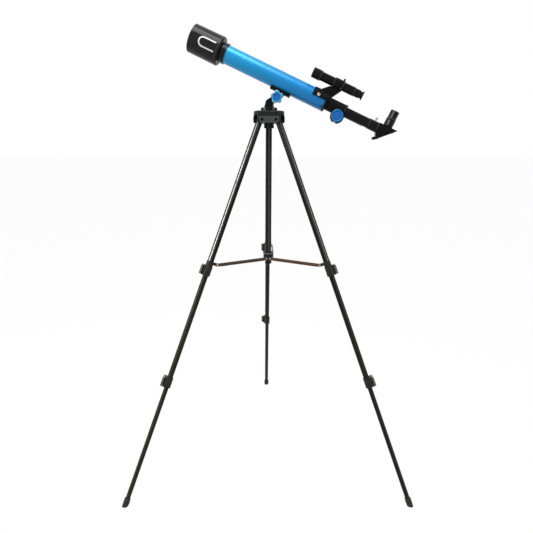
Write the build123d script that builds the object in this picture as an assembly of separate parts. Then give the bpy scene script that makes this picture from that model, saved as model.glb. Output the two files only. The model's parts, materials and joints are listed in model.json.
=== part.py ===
from build123d import *
import math
import os

# A small refractor telescope on a folding three-leg tripod, in millimetres.
# X runs to the right of the front view, Y away from the viewer and Z up.

# Stance of the tripod
leg_pivot_radius = 31.0
leg_pivot_height = 1128.0
foot_circle_radius = 498.0
leg_folded_angle = 1.5
leg_directions = {"left": 210.0, "right": 330.0, "back": 90.0}
arm_sides = {"left": 1, "right": -1, "back": -1}

# Leg sections, measured along the leg from its pivot
upper_tube_diameter = 19.0
leg_tube_wall = 1.0
section_clearance = 0.3
leg_top_length = 10.0
upper_clamp_station = 466.0
lower_clamp_station = 820.0
section_overlap = 60.0
lower_tube_end_gap = 10.0
foot_diameter = 18.0
foot_length = 26.0
foot_chamfer = 2.5

# Leg clamps and their levers
clamp_wall = 2.6
clamp_length = 30.0
clamp_collar_wall = 1.2
clamp_slit = 1.6
lever_turn = 30.0
lever_pad_reach = 15.0
lever_pad_width = 21.0
lever_thickness = 6.0
lever_length = 27.0
lever_gap = 0.4
lever_knuckle_radius = 3.2
lever_knuckle_length = 14.0
lever_pin_radius = 1.5
lever_round = 2.2
lever_tip_lift = 2.4

# Brace: column, sliding hub and arms
column_diameter = 18.2
column_wall = 1.5
column_below_hub = 6.0
column_cap_flange = 1.5
column_cap_thickness = 5.0
hub_pivot_height = 714.0
hub_pivot_radius = 15.0
hub_wall = 7.0
hub_above_pivot = 18.0
hub_below_pivot = 8.0
hub_band_height = 6.0
hub_band_step = 0.9
ear_inset = 18.0
ear_rise = 25.4
ear_thickness = 3.0
ear_radius = 4.6
ear_root_half_length = 6.0
arm_plane = 13.5
arm_height = 9.5
arm_sheet = 1.3
arm_flange = 4.0
arm_flange_setback = 9.0
rivet_radius = 2.0
rivet_head_radius = 3.2
rivet_head_height = 1.0

# Crown of the tripod
crown_face_distance = 33.0
crown_radius = 46.5
crown_below_pivot = 8.0
crown_roof = 11.5
crown_edge_round = 4.0
crown_recess_depth = 2.0
crown_recess_height = 9.0
crown_recess_width = 46.0
crown_boss_wall = 5.4
crown_boss_length = 14.0
crown_boss_slots = 8
crown_boss_slot_width = 3.0
crown_boss_slot_depth = 2.0
pivot_pin_radius = 3.0
plate_width = 58.0
plate_height = 18.0
plate_thickness = 4.0
plate_corner = 8.0
plate_hole_radius = 4.4
plate_hole_depth = 2.6
plate_hole_spread = 40.0
plate_dimple_radius = 4.0
plate_dimple_depth = 0.8

# Turning neck and altitude joint
telescope_yaw = 7.0
telescope_elevation = 24.8
altitude_height_above_crown = 37.0
altitude_offset = 24.9
neck_disc_radius = 23.5
neck_disc_height = 9.5
neck_base_left = 14.0
neck_base_right = 13.0
neck_shoulder_radius = 7.0
neck_shoulder_left = 2.0
neck_shoulder_drop = 12.5
neck_head_radius = 11.0
neck_waist_drop = 14.0
neck_half_width = 13.0
neck_edge_round = 2.0
fork_depth = 17.0
fork_front_depth = 8.0
spindle_radius = 6.0
spindle_length = 17.0
altitude_bolt_radius = 4.0
altitude_bolt_head_radius = 8.0
altitude_bolt_head_height = 5.0
star_lobes = 5
star_lobe_radius = 6.4
star_lobe_circle = 12.0
star_core_radius = 14.6
star_thickness = 12.0
star_edge_round = 2.2
star_boss_radius = 9.0
star_boss_length = 3.8
star_cap_radius = 8.5
star_cap_depth = 1.4

# Main tube, measured along it from the altitude axis, towards the eyepiece
tube_axis_height = 45.5
tube_diameter = 52.0
tube_wall = 1.2
tube_front = -184.5
tube_rear = 129.0
saddle_half_length = 30.5
saddle_width = 30.0
saddle_depth = 6.0
saddle_corner = 3.0
lug_radius = 11.0
lug_thickness = 10.0
lug_root_half_length = 15.0

# Objective and dew shield
cell_flange_radius = 29.0
cell_flange_length = 7.0
cell_neck_radius = 27.4
cell_neck_length = 9.0
cell_housing_radius = 28.8
cell_housing_length = 28.0
cell_spigot_length = 16.0
cell_light_radius = 21.5
cell_edge_round = 0.8
lens_diameter = 50.0
lens_seat_depth = 20.0
crown_lens_edge = 4.0
crown_lens_bulge = 2.2
flint_lens_edge = 6.5
flint_lens_bulge = 1.0
lens_air_gap = 0.4
retainer_length = 4.0
hood_length = 93.0
hood_front_diameter = 80.0
hood_rear_diameter = 81.6
hood_wall = 2.2
hood_rear_wall = 3.0
hood_mouth_depth = 60.0
hood_throat_step = 0.6
hood_hub_length = 15.0
hood_shoulder_round = 5.0
hood_lip_round = 1.0
grip_start = 33.0
grip_length = 50.0
grip_width = 22.0
grip_depth = 0.9

# Focuser
focuser_spigot_length = 16.0
focuser_flange_radius = 26.6
focuser_flange_length = 5.0
focuser_cone_length = 3.0
focuser_barrel_radius = 18.8
focuser_barrel_end = 196.0
focuser_lip_radius = 19.6
focuser_lip_length = 5.0
focuser_cone_wall = 4.5
focuser_flange_round = 1.0
focuser_shoulder_round = 2.0
focuser_lip_round = 0.8
drum_radius = 20.0
drum_half_width = 16.5
drum_flat_depth = 36.0
drum_round = 1.2
pinion_station = 178.5
gear_module = 1.0
pinion_teeth = 11
gear_backlash = 0.5
gear_addendum = 0.9
gear_root_clearance = 0.2
gear_dedendum = 1.2
gear_pressure_angle = 20.0
tooth_root_width = 1.4
tooth_tip_width = 0.4
gear_width = 8.0
gear_side_clearance = 0.6
gear_tip_clearance = 0.7
pinion_shaft_radius = 2.5
pinion_cover_thickness = 2.4
pinion_cover_length = 22.0
focus_knob_radius = 17.2
focus_knob_width = 11.0
focus_knob_gap = 0.5
focus_knob_boss_radius = 7.0
focus_knob_rim = 3.4
focus_knob_groove_depth = 2.0
focus_knob_hub_radius = 8.6
focus_knob_dish_depth = 1.0
focus_knob_round = 1.6
focus_knob_edge_round = 0.8
drawtube_radius = 13.75
drawtube_bore = 12.3
drawtube_front = 138.0
drawtube_rear = 298.0
drawtube_collar_length = 30.0
drawtube_collar_radius = 14.8
drawtube_clearance = 0.25
rack_front = 144.0
rack_teeth = 35
thumbscrew_station = 284.5
thumbscrew_radius = 2.0
thumbscrew_head_radius = 3.6
thumbscrew_head_height = 7.0
thumbscrew_stand_off = 3.0
thumbscrew_round = 0.8

# Star diagonal and eyepiece
eyepiece_station = 322.5
diagonal_half_width = 15.0
diagonal_top = 14.5
diagonal_bottom = 26.0
diagonal_barrel_length = 28.0
diagonal_barrel_spigot = 6.0
diagonal_light_radius = 10.8
diagonal_edge_round = 1.5
mirror_thickness = 3.0
mirror_half_length = 17.0
mirror_half_width = 11.5
mirror_pocket_depth = 5.5
cover_thickness = 6.0
cover_overhang = 5.0
cover_bead_radius = 4.6
holder_radius = 13.5
holder_top = 37.4
barrel_radius = 12.25
slip_clearance = 0.05
eyepiece_body_radius = 12.7
eyepiece_top = 60.8
eyepiece_bottom = 14.0
eyepiece_field_radius = 9.3
eyepiece_field_depth = 26.0
eyepiece_eye_radius = 6.2
eyepiece_eye_opening = 4.2
eyepiece_cup_radius = 8.5
eyepiece_cup_depth = 3.0
eyepiece_top_round = 1.2
eyepiece_cup_round = 0.6
eyepiece_shoulder_round = 0.15
field_lens_thickness = 4.0
eye_lens_thickness = 4.0
field_lens_bulge = 1.4
eye_lens_bulge = 0.8
eye_lens_hollow = 0.3

# Finder
finder_height = 59.1
finder_front = 62.3
finder_bell_length = 27.0
finder_bell_radius = 14.3
finder_body_radius = 12.4
finder_step = 193.5
finder_rear_radius = 11.4
finder_wall = 1.6
finder_bell_round = 1.0
finder_step_round = 0.5
finder_lens_thickness = 4.0
finder_lens_setback = 6.0
finder_lens_bulge = 1.0
finder_eyepiece_end = 220.0
finder_eyepiece_flange_radius = 12.4
finder_eyepiece_flange_length = 3.6
finder_eyepiece_neck_length = 5.0
finder_eyepiece_insert = 18.0
finder_eyepiece_gap = 1.5
finder_eye_opening = 4.0
bracket_foot_front = 88.0
bracket_foot_length = 39.0
bracket_foot_thickness = 2.6
bracket_foot_half_angle = 84.0
bracket_stalk_half_width = 5.5
bracket_stalk_foot_front = 104.0
bracket_stalk_top_front = 124.0
bracket_stalk_heel = 5.0
bracket_ring_front = 129.5
bracket_ring_length = 29.0
bracket_ring_radius = 15.8
bracket_ring_clearance = 0.4
bracket_ring_lip = 1.2
bracket_ring_lip_length = 6.0
finder_screw_radius = 1.6
finder_screw_head_radius = 2.6
finder_screw_head_height = 4.5
finder_screw_setback = 4.5
finder_nut_station = 106.0
finder_nut_radius = 4.6
finder_nut_height = 4.0
finder_nut_inset = 0.2
finder_nut_round = 1.0

# Shared clearances
running_clearance = 0.05
body_gap = 0.3
seat_gap = 0.02

# How far a cutter or a fused end runs past its face
overrun = 1.0

# Values worked out from the sizes above
leg_run = foot_circle_radius - leg_pivot_radius
leg_spread = math.degrees(math.atan2(leg_run, leg_pivot_height))
leg_length = math.hypot(leg_run, leg_pivot_height)
upper_radius = upper_tube_diameter / 2
middle_radius = upper_radius - leg_tube_wall - section_clearance
lower_radius = middle_radius - leg_tube_wall - section_clearance
column_radius = column_diameter / 2
column_bore = column_radius + section_clearance
column_bottom = hub_pivot_height - hub_below_pivot - column_below_hub
leg_swing = math.hypot(leg_top_length, upper_radius) + 2 * body_gap
crown_bottom = leg_pivot_height - crown_below_pivot
crown_slot_top = leg_pivot_height + leg_swing
crown_top = crown_slot_top + crown_roof
neck_bottom = crown_top + body_gap
neck_base = neck_bottom + neck_disc_height
altitude_height = crown_top + altitude_height_above_crown
tube_radius = tube_diameter / 2
tube_bore = tube_radius - tube_wall
cell_neck_end = tube_front - cell_flange_length - cell_neck_length
cell_front = cell_neck_end - cell_housing_length
lens_radius = lens_diameter / 2
lens_shoulder = cell_front + lens_seat_depth
hood_rear = cell_neck_end
hood_front = hood_rear - hood_length
hood_bore = hood_front_diameter / 2 - hood_wall
hood_throat = hood_bore - hood_throat_step
pitch_radius = gear_module * pinion_teeth / 2
rack_pitch_drop = drawtube_radius + gear_addendum * gear_module + gear_root_clearance
pinion_drop = rack_pitch_drop + pitch_radius
focus_knob_start = focuser_lip_radius + focus_knob_gap
focus_knob_end = focus_knob_start + focus_knob_width
bracket_foot_rear = bracket_foot_front + bracket_foot_length

# Each brace arm runs from the hub's pivot to the ear on the leg's upper clamp
ear_station = upper_clamp_station - ear_rise
ear_reach = (
    leg_pivot_radius
    + ear_station * math.sin(math.radians(leg_spread))
    - ear_inset * math.cos(math.radians(leg_spread))
)
ear_height = (
    leg_pivot_height
    - ear_station * math.cos(math.radians(leg_spread))
    - ear_inset * math.sin(math.radians(leg_spread))
)
arm_length = math.hypot(ear_reach - hub_pivot_radius, ear_height - hub_pivot_height)
arm_slope = math.degrees(math.atan2(ear_height - hub_pivot_height, ear_reach - hub_pivot_radius))


def turned(points):
    """A solid turned about the X axis from (station, radius) points; a third value rounds that corner."""
    profile = make_face(Polyline(*[point[:2] for point in points], close=True))
    for point in points:
        if len(point) == 3:
            corner = profile.vertices().sort_by_distance(point[:2])[0]
            profile = fillet(corner, point[2])
    return revolve(Plane.XZ * profile, Axis.X)


def rod_x(start, end, radius):
    """A round bar along X between two stations."""
    return Pos((start + end) / 2, 0, 0) * Rot(0, 90, 0) * Cylinder(radius, end - start)


def rod_y(start, end, radius):
    """A round bar along Y."""
    return Pos(0, (start + end) / 2, 0) * Rot(90, 0, 0) * Cylinder(radius, end - start)


def rod_z(start, end, radius):
    """A round bar along Z."""
    return Pos(0, 0, (start + end) / 2) * Cylinder(radius, end - start)


def block(x0, x1, y0, y1, z0, z1):
    """A box between two corners."""
    return Pos((x0 + x1) / 2, (y0 + y1) / 2, (z0 + z1) / 2) * Box(x1 - x0, y1 - y0, z1 - z0)


def side_plate(sketch, half_width):
    """A sketch drawn in the XZ plane, thickened evenly to both sides."""
    return extrude(Plane.XZ * sketch, half_width, both=True)


# Tripod crown

def make_crown():
    """Three-sided head with a slot for each leg, a spindle bore on top and a ribbed boss below."""
    outline = RegularPolygon(2 * crown_face_distance, 3, rotation=90) & Circle(crown_radius)
    body = extrude(Pos(0, 0, crown_bottom) * outline, crown_top - crown_bottom)
    body = fillet(body.edges().filter_by(Axis.Z), crown_edge_round)
    body = fillet(body.faces().sort_by(Axis.Z)[-1].edges(), crown_edge_round)
    boss_radius = column_radius + crown_boss_wall
    boss = rod_z(crown_bottom - crown_boss_length, crown_bottom, boss_radius)
    notch = block(boss_radius - crown_boss_slot_depth, boss_radius + overrun,
                  -crown_boss_slot_width / 2, crown_boss_slot_width / 2,
                  crown_bottom - crown_boss_length - overrun, crown_bottom - crown_boss_slot_width)
    boss -= PolarLocations(0, crown_boss_slots) * notch
    body += boss
    slot_half = upper_radius + body_gap
    slot = block(leg_pivot_radius - leg_swing, 2 * crown_radius, -slot_half, slot_half,
                 crown_bottom - overrun, crown_slot_top)
    pin_hole = Pos(leg_pivot_radius, 0, leg_pivot_height) * rod_y(
        -crown_radius, crown_radius, pivot_pin_radius + running_clearance)
    recess_top = crown_top - crown_edge_round
    recess = block(crown_face_distance - crown_recess_depth, crown_radius,
                   -crown_recess_width / 2, crown_recess_width / 2,
                   recess_top - crown_recess_height, recess_top)
    for direction in leg_directions.values():
        body -= Rot(0, 0, direction) * slot
        body -= Rot(0, 0, direction) * pin_hole
        body -= Rot(0, 0, direction + 180) * recess
    body -= rod_z(crown_bottom - 2 * crown_boss_length, leg_pivot_height, column_radius + seat_gap)
    spindle_bore = spindle_radius + running_clearance
    body -= rod_z(crown_top - spindle_length - overrun, crown_top + overrun, spindle_bore)
    return body


def make_crown_plates():
    """The face plates between the legs, with two screw wells and a centre dimple each."""
    outline = Rectangle(plate_width, plate_height)
    lower = outline.vertices().group_by(Axis.Y)[0]
    outline = fillet(lower, plate_corner)
    plate = extrude(Plane.YZ * outline, plate_thickness)
    well = rod_x(plate_thickness - plate_hole_depth, plate_thickness + overrun, plate_hole_radius)
    for side in (-1, 1):
        plate -= Pos(0, side * plate_hole_spread / 2, 0) * well
    plate -= rod_x(plate_thickness - plate_dimple_depth, plate_thickness + overrun, plate_dimple_radius)
    seat = Pos(crown_face_distance + seat_gap, 0, crown_bottom + plate_height / 2)
    return [Rot(0, 0, direction + 180) * seat * plate for direction in leg_directions.values()]


def make_pivot_pins():
    """One cross pin for each leg, ending inside the crown's cheeks."""
    cheek = (2 * crown_face_distance - leg_pivot_radius) * math.tan(math.radians(30))
    half_length = cheek - pivot_pin_radius * math.tan(math.radians(30)) - seat_gap
    pin = Pos(leg_pivot_radius, 0, leg_pivot_height) * rod_y(-half_length, half_length, pivot_pin_radius)
    return [Rot(0, 0, direction) * pin for direction in leg_directions.values()]


# Centre column and brace

def make_column():
    """The centre tube that the spreader hub slides on."""
    top = leg_pivot_height - seat_gap
    tube = rod_z(column_bottom, top, column_radius)
    return tube - rod_z(column_bottom - overrun, top + overrun, column_radius - column_wall)


def make_column_cap():
    """Plug and flange that close the column's lower end and stop the hub."""
    flange = rod_z(column_bottom - column_cap_thickness, column_bottom - seat_gap,
                   column_radius + column_cap_flange)
    flange = fillet(flange.edges().sort_by(Axis.Z)[0], column_cap_flange)
    plug = rod_z(column_bottom - column_cap_thickness / 2, column_bottom + 2 * column_cap_thickness,
                 column_radius - column_wall - seat_gap)
    return flange + plug


def make_hub():
    """Sliding sleeve with an ear beside each brace arm."""
    sleeve_radius = column_bore + hub_wall
    low = hub_pivot_height - hub_below_pivot
    high = hub_pivot_height + hub_above_pivot
    hub = rod_z(low, high, sleeve_radius - hub_band_step)
    hub += rod_z(high - hub_band_height, high, sleeve_radius)
    hub = fillet(hub.faces().sort_by(Axis.Z)[-1].edges(), hub_band_step)
    ear = Circle(ear_radius) + Pos(-hub_pivot_radius / 2, 0) * Rectangle(hub_pivot_radius, 2 * ear_radius)
    ear = side_plate(ear, ear_thickness / 2)
    hole = rod_y(-ear_thickness, ear_thickness, rivet_radius + running_clearance)
    for name, direction in leg_directions.items():
        across = arm_sides[name] * (arm_plane - body_gap - ear_thickness / 2)
        place = Rot(0, 0, direction) * Pos(hub_pivot_radius, across, hub_pivot_height)
        hub += place * ear
        hub -= place * hole
    hub -= rod_z(low - overrun, high + overrun, column_bore)
    return hub


def make_arm(side):
    """Pressed channel arm in the leg's own direction, with its inner pin and both rivet heads."""
    outline = Pos(arm_length / 2, 0) * SlotCenterToCenter(arm_length, arm_height)
    web = Pos(0, arm_sheet / 2, 0) * side_plate(outline, arm_sheet / 2)
    flange_length = arm_length - 2 * arm_flange_setback
    for edge in (-1, 1):
        middle = edge * (arm_height - arm_sheet) / 2
        web += Pos(arm_length / 2, arm_flange / 2, middle) * Box(flange_length, arm_flange, arm_sheet)
    pin_end = -body_gap - ear_thickness - rivet_head_height
    web += rod_y(pin_end, arm_sheet, rivet_radius)
    for station in (0, arm_length):
        head = rod_y(arm_sheet - seat_gap, arm_sheet + rivet_head_height, rivet_head_radius)
        head = fillet(head.edges().sort_by(Axis.Y)[-1], rivet_head_height / 2)
        web += Pos(station, 0, 0) * head
    arm = Pos(hub_pivot_radius, arm_plane, hub_pivot_height) * Rot(0, -arm_slope, 0) * web
    return arm if side > 0 else mirror(arm, Plane.XZ)


# Legs, drawn hanging straight down from the pivot with X outwards

def leg_tube(top, bottom, radius):
    """A round leg section between two stations below the pivot."""
    tube = rod_z(-bottom, -top, radius)
    return tube - rod_z(-bottom - overrun, -top + overrun, radius - leg_tube_wall)


def make_upper_tube():
    """Upper section, cross drilled for its pivot pin."""
    tube = leg_tube(-leg_top_length, upper_clamp_station, upper_radius)
    return tube - rod_y(-2 * upper_radius, 2 * upper_radius, pivot_pin_radius + running_clearance)


def lever_pin_place(outer_radius):
    """Lever hinge, in the clamp's own turned frame: outwards and to the lever's side."""
    out = outer_radius - upper_radius + lever_pad_reach + lever_gap + lever_knuckle_radius
    return out, lever_pad_width / 2 + lever_knuckle_radius / 2


def make_clamp(station, outer_radius, inner_radius, with_ear):
    """Split clamp round the end of one section, gripping the next one, with the lever on the Y side."""
    top = -station + clamp_length / 2
    bottom = -station - clamp_length / 2
    reach = outer_radius - upper_radius + lever_pad_reach
    pad = block(0, reach, -lever_pad_width / 2, lever_pad_width / 2, bottom, top)
    pin_out, pin_side = lever_pin_place(outer_radius)
    knuckle_space = lever_knuckle_length / 2 + lever_gap
    hinge = Pos(pin_out, pin_side, 0)
    knuckle = hinge * rod_z(-lever_length / 2, lever_length / 2, lever_knuckle_radius)
    knuckle += block(reach - 2 * lever_knuckle_radius, pin_out,
                     pin_side - lever_knuckle_radius, pin_side + lever_knuckle_radius / 2,
                     -lever_length / 2, lever_length / 2)
    knuckle -= block(reach + seat_gap, 3 * reach, -2 * lever_pad_width, 2 * lever_pad_width,
                     -knuckle_space, knuckle_space)
    relief = hinge * rod_z(-knuckle_space, knuckle_space, lever_knuckle_radius + lever_gap)
    pin = hinge * rod_z(-lever_length / 2, lever_length / 2, lever_pin_radius)
    body = fillet(pad.edges().filter_by(Axis.Z).group_by(Axis.X)[-1], lever_round)
    body = body + Pos(0, 0, -station) * knuckle - Pos(0, 0, -station) * relief
    body += Pos(0, 0, -station) * pin
    body = Rot(0, 0, lever_turn) * body
    sleeve_radius = outer_radius + clamp_wall
    sleeve_top = top
    body += rod_z(bottom, top, sleeve_radius)
    if with_ear:
        sleeve_top = -ear_station + ear_radius
        body += rod_z(bottom, sleeve_top, outer_radius + clamp_collar_wall)
        body += block(-ear_root_half_length, ear_root_half_length, -arm_plane + body_gap, 0,
                      sleeve_top - 2 * ear_radius, sleeve_top)
        ear = Circle(ear_radius) + Pos(ear_inset / 2, 0) * Rectangle(ear_inset, 2 * ear_radius)
        ear = Pos(-ear_inset, 0, -ear_station) * side_plate(ear, ear_thickness / 2)
        body += Pos(0, -arm_plane + body_gap + ear_thickness / 2, 0) * ear
    body -= rod_z(-station, sleeve_top + overrun, outer_radius + seat_gap)
    body -= rod_z(bottom - overrun, -station + overrun, inner_radius + section_clearance / 2)
    slit = block(0, 2 * sleeve_radius, -clamp_slit / 2, clamp_slit / 2,
                 bottom - overrun, -station - lever_gap)
    return body - Rot(0, 0, lever_turn - 90) * slit


def make_lever(station, outer_radius):
    """Clamp lever closed against its pad, with a lifted finger tip."""
    reach = outer_radius - upper_radius + lever_pad_reach
    pin_out, pin_side = lever_pin_place(outer_radius)
    inner = reach + lever_gap
    flap = block(inner, inner + lever_thickness, -lever_pad_width / 2 - lever_tip_lift,
                 pin_side - lever_knuckle_radius - lever_gap, -lever_length / 2, lever_length / 2)
    flap = fillet(flap.edges().group_by(Axis.X)[-1], lever_round)
    link = block(inner, inner + lever_thickness, 0, pin_side,
                 -lever_knuckle_length / 2, lever_knuckle_length / 2)
    hinge = Pos(pin_out, pin_side, 0)
    knuckle = hinge * rod_z(-lever_knuckle_length / 2, lever_knuckle_length / 2, lever_knuckle_radius)
    hole = hinge * rod_z(-lever_length, lever_length, lever_pin_radius + running_clearance)
    return Rot(0, 0, lever_turn) * Pos(0, 0, -station) * (flap + link + knuckle - hole)


def make_foot():
    """Rubber foot with a blind hole for the lower section, still uncut at the floor."""
    top = leg_length - foot_length
    foot = rod_z(-leg_length - foot_diameter, -top, foot_diameter / 2)
    foot = chamfer(foot.edges().sort_by(Axis.Z)[-1], foot_chamfer)
    return foot - rod_z(-leg_length + lower_tube_end_gap - seat_gap, 0, lower_radius + seat_gap)


def on_leg(direction, shape):
    """Swings a leg piece out to its standing angle, about its pivot in the crown."""
    hang = Pos(leg_pivot_radius, 0, leg_pivot_height) * Rot(0, -leg_spread, 0)
    return Rot(0, 0, direction) * hang * shape


def make_leg(name):
    """All pieces of one leg, placed in the tripod."""
    direction = leg_directions[name]
    lever_side = -arm_sides[name]
    pieces = {
        "upper_tube": make_upper_tube(),
        "upper_clamp": make_clamp(upper_clamp_station, upper_radius, middle_radius, True),
        "upper_lever": make_lever(upper_clamp_station, upper_radius),
        "middle_tube": leg_tube(upper_clamp_station - section_overlap, lower_clamp_station, middle_radius),
        "lower_clamp": make_clamp(lower_clamp_station, middle_radius, lower_radius, False),
        "lower_lever": make_lever(lower_clamp_station, middle_radius),
        "lower_tube": leg_tube(lower_clamp_station - section_overlap, leg_length - lower_tube_end_gap,
                               lower_radius),
        "foot": make_foot(),
    }
    above_floor = block(-2 * foot_circle_radius, 2 * foot_circle_radius, -2 * foot_circle_radius,
                        2 * foot_circle_radius, 0, leg_pivot_height)
    placed = {}
    for piece, shape in pieces.items():
        sided = shape if lever_side > 0 else mirror(shape, Plane.XZ)
        placed[piece] = on_leg(direction, sided)
    placed["foot"] = placed["foot"] & above_floor
    return placed


# Neck and altitude joint, drawn with the turning axis at X = 0 and the telescope's front towards -X

def make_yoke():
    """Turning disc with its spindle and a leaning neck that forks round the saddle's lug."""
    disc = rod_z(neck_bottom, neck_base, neck_disc_radius)
    disc = fillet(disc.edges().sort_by(Axis.Z)[-1], neck_edge_round)
    disc += rod_z(crown_top - spindle_length, neck_bottom + overrun, spindle_radius)
    head = Pos(altitude_offset, altitude_height) * Circle(neck_head_radius)
    shoulder = Pos(-neck_shoulder_left, altitude_height - neck_shoulder_drop) * Circle(neck_shoulder_radius)
    sunk = neck_base - neck_edge_round - overrun
    waist = altitude_height - neck_waist_drop
    foot_line = Line((-neck_base_left, sunk), (neck_base_right, sunk))
    back_line = Line((neck_base_right, sunk), (neck_base_right, waist))
    waist_line = Line((0, waist), (neck_base_right, waist))
    outline = make_hull(shoulder.edges() + [foot_line, back_line])
    outline += make_hull(head.edges() + shoulder.edges() + [waist_line])
    neck = side_plate(outline, neck_half_width)
    neck = fillet(neck.faces().sort_by(Axis.Y)[0].edges() + neck.faces().sort_by(Axis.Y)[-1].edges(),
                  neck_edge_round)
    altitude = Pos(altitude_offset, 0, altitude_height)
    slot_half = lug_thickness / 2 + body_gap
    fork = rod_y(-slot_half, slot_half, lug_radius + 2 * body_gap)
    fork += block(-4 * lug_radius, 4 * lug_radius, -slot_half, slot_half, 0, 4 * lug_radius)
    fork += block(0, 4 * lug_radius, -slot_half, slot_half, -fork_depth, 0)
    fork += block(-4 * lug_radius, 0, -slot_half, slot_half, -fork_front_depth, 0)
    bolt_hole = rod_y(-2 * neck_half_width, 2 * neck_half_width, altitude_bolt_radius + seat_gap)
    return disc + (neck - altitude * fork - altitude * bolt_hole)


def make_altitude_bolt():
    """Bolt through the fork and the lug, its hexagon head on the far side."""
    knob_depth = neck_half_width + body_gap + star_boss_length + star_thickness / 2
    shank = rod_y(-knob_depth, neck_half_width + overrun, altitude_bolt_radius)
    head = extrude(Plane.XZ * RegularPolygon(altitude_bolt_head_radius, 6), -altitude_bolt_head_height)
    bolt = shank + Pos(0, neck_half_width + seat_gap, 0) * head
    return Pos(altitude_offset, 0, altitude_height) * bolt


def make_altitude_knob():
    """Star knob with a round boss and a dished cap, on the near side of the fork."""
    star = Circle(star_core_radius)
    star += PolarLocations(star_lobe_circle, star_lobes, 90) * Circle(star_lobe_radius)
    near = -neck_half_width - body_gap
    grip = Pos(0, near - star_boss_length, 0) * extrude(Plane.XZ * star, star_thickness)
    grip = fillet(grip.faces().sort_by(Axis.Y)[0].edges(), star_edge_round)
    face = near - star_boss_length - star_thickness
    grip -= rod_y(face - overrun, face + star_cap_depth, star_cap_radius)
    grip += rod_y(near - star_boss_length - overrun, near, star_boss_radius)
    grip -= rod_y(near - star_boss_length - star_thickness / 2 - running_clearance, near + overrun,
                  altitude_bolt_radius + running_clearance)
    return Pos(altitude_offset, 0, altitude_height) * grip


# Telescope, drawn level along X about the altitude axis; optical pieces are drawn about their own axis

def on_tube(shape):
    """Lifts a piece drawn about the optical axis to that axis."""
    return Pos(0, 0, tube_axis_height) * shape


def make_main_tube():
    """Rolled tube between the lens cell and the focuser."""
    tube = rod_x(tube_front, tube_rear, tube_radius)
    return on_tube(tube - rod_x(tube_front - overrun, tube_rear + overrun, tube_bore))


def make_saddle():
    """Bar under the tube with the pivot lug below it."""
    low = tube_axis_height - tube_radius - saddle_depth
    bar = block(-saddle_half_length, saddle_half_length, -saddle_width / 2, saddle_width / 2,
                low, tube_axis_height)
    bar = fillet(bar.edges().filter_by(Axis.Z), saddle_corner)
    bar -= on_tube(rod_x(-2 * saddle_half_length, 2 * saddle_half_length, tube_radius + seat_gap))
    root = Line((-lug_root_half_length, low + overrun), (lug_root_half_length, low + overrun))
    lug = side_plate(make_hull(Circle(lug_radius).edges() + [root]), lug_thickness / 2)
    lug -= rod_y(-lug_thickness, lug_thickness, altitude_bolt_radius + running_clearance)
    return bar + lug


def make_lens_cell():
    """Turned cell: spigot in the tube, two visible steps and the housing for the lens."""
    profile = [
        (tube_front + cell_spigot_length, cell_light_radius),
        (tube_front + cell_spigot_length, tube_bore - seat_gap),
        (tube_front - seat_gap, tube_bore - seat_gap),
        (tube_front - seat_gap, cell_flange_radius, cell_edge_round),
        (tube_front - cell_flange_length, cell_flange_radius, cell_edge_round),
        (tube_front - cell_flange_length, cell_neck_radius),
        (cell_neck_end + seat_gap, cell_neck_radius),
        (cell_neck_end + seat_gap, cell_housing_radius),
        (cell_front, cell_housing_radius),
        (cell_front, lens_radius + seat_gap),
        (lens_shoulder, lens_radius + seat_gap),
        (lens_shoulder, cell_light_radius),
    ]
    return on_tube(turned(profile))


def lens_solid(start, edge, radius, front_bulge, rear_bulge):
    """A lens along X with spherical faces; a bulge under zero is hollow."""
    end = start + edge

    def face_arc(rim, bulge, outwards):
        sphere = (radius ** 2 + bulge ** 2) / (2 * abs(bulge))
        rise = sphere - math.sqrt(sphere ** 2 - (radius / 2) ** 2)
        middle = rim + outwards * (bulge - math.copysign(rise, bulge))
        return ThreePointArc((rim, radius), (middle, radius / 2), (rim + outwards * bulge, 0))

    axis = Line((start - front_bulge, 0), (end + rear_bulge, 0))
    rim = Line((end, radius), (start, radius))
    outline = [face_arc(start, front_bulge, -1), axis, face_arc(end, rear_bulge, 1), rim]
    return revolve(Plane.XZ * make_face(outline), Axis.X)


def make_objective():
    """Doublet: a crown element in front of a flint element, with an air gap."""
    flint_start = lens_shoulder - seat_gap - flint_lens_edge
    radius = lens_radius - seat_gap
    flint = lens_solid(flint_start, flint_lens_edge, radius, -crown_lens_bulge, -flint_lens_bulge)
    crown_start = flint_start - lens_air_gap - crown_lens_edge
    crown = lens_solid(crown_start, crown_lens_edge, radius, crown_lens_bulge, crown_lens_bulge)
    return [on_tube(flint), on_tube(crown)]


def make_retainer():
    """Ring that holds the objective in its cell."""
    lens_front = lens_shoulder - seat_gap - flint_lens_edge - lens_air_gap - crown_lens_edge
    rise = crown_lens_bulge * (1 - (cell_light_radius / lens_radius) ** 2)
    start = lens_front - rise - 2 * seat_gap - retainer_length
    ring = rod_x(start, start + retainer_length, lens_radius - seat_gap)
    return on_tube(ring - rod_x(start - overrun, start + retainer_length + overrun, cell_light_radius))


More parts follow.
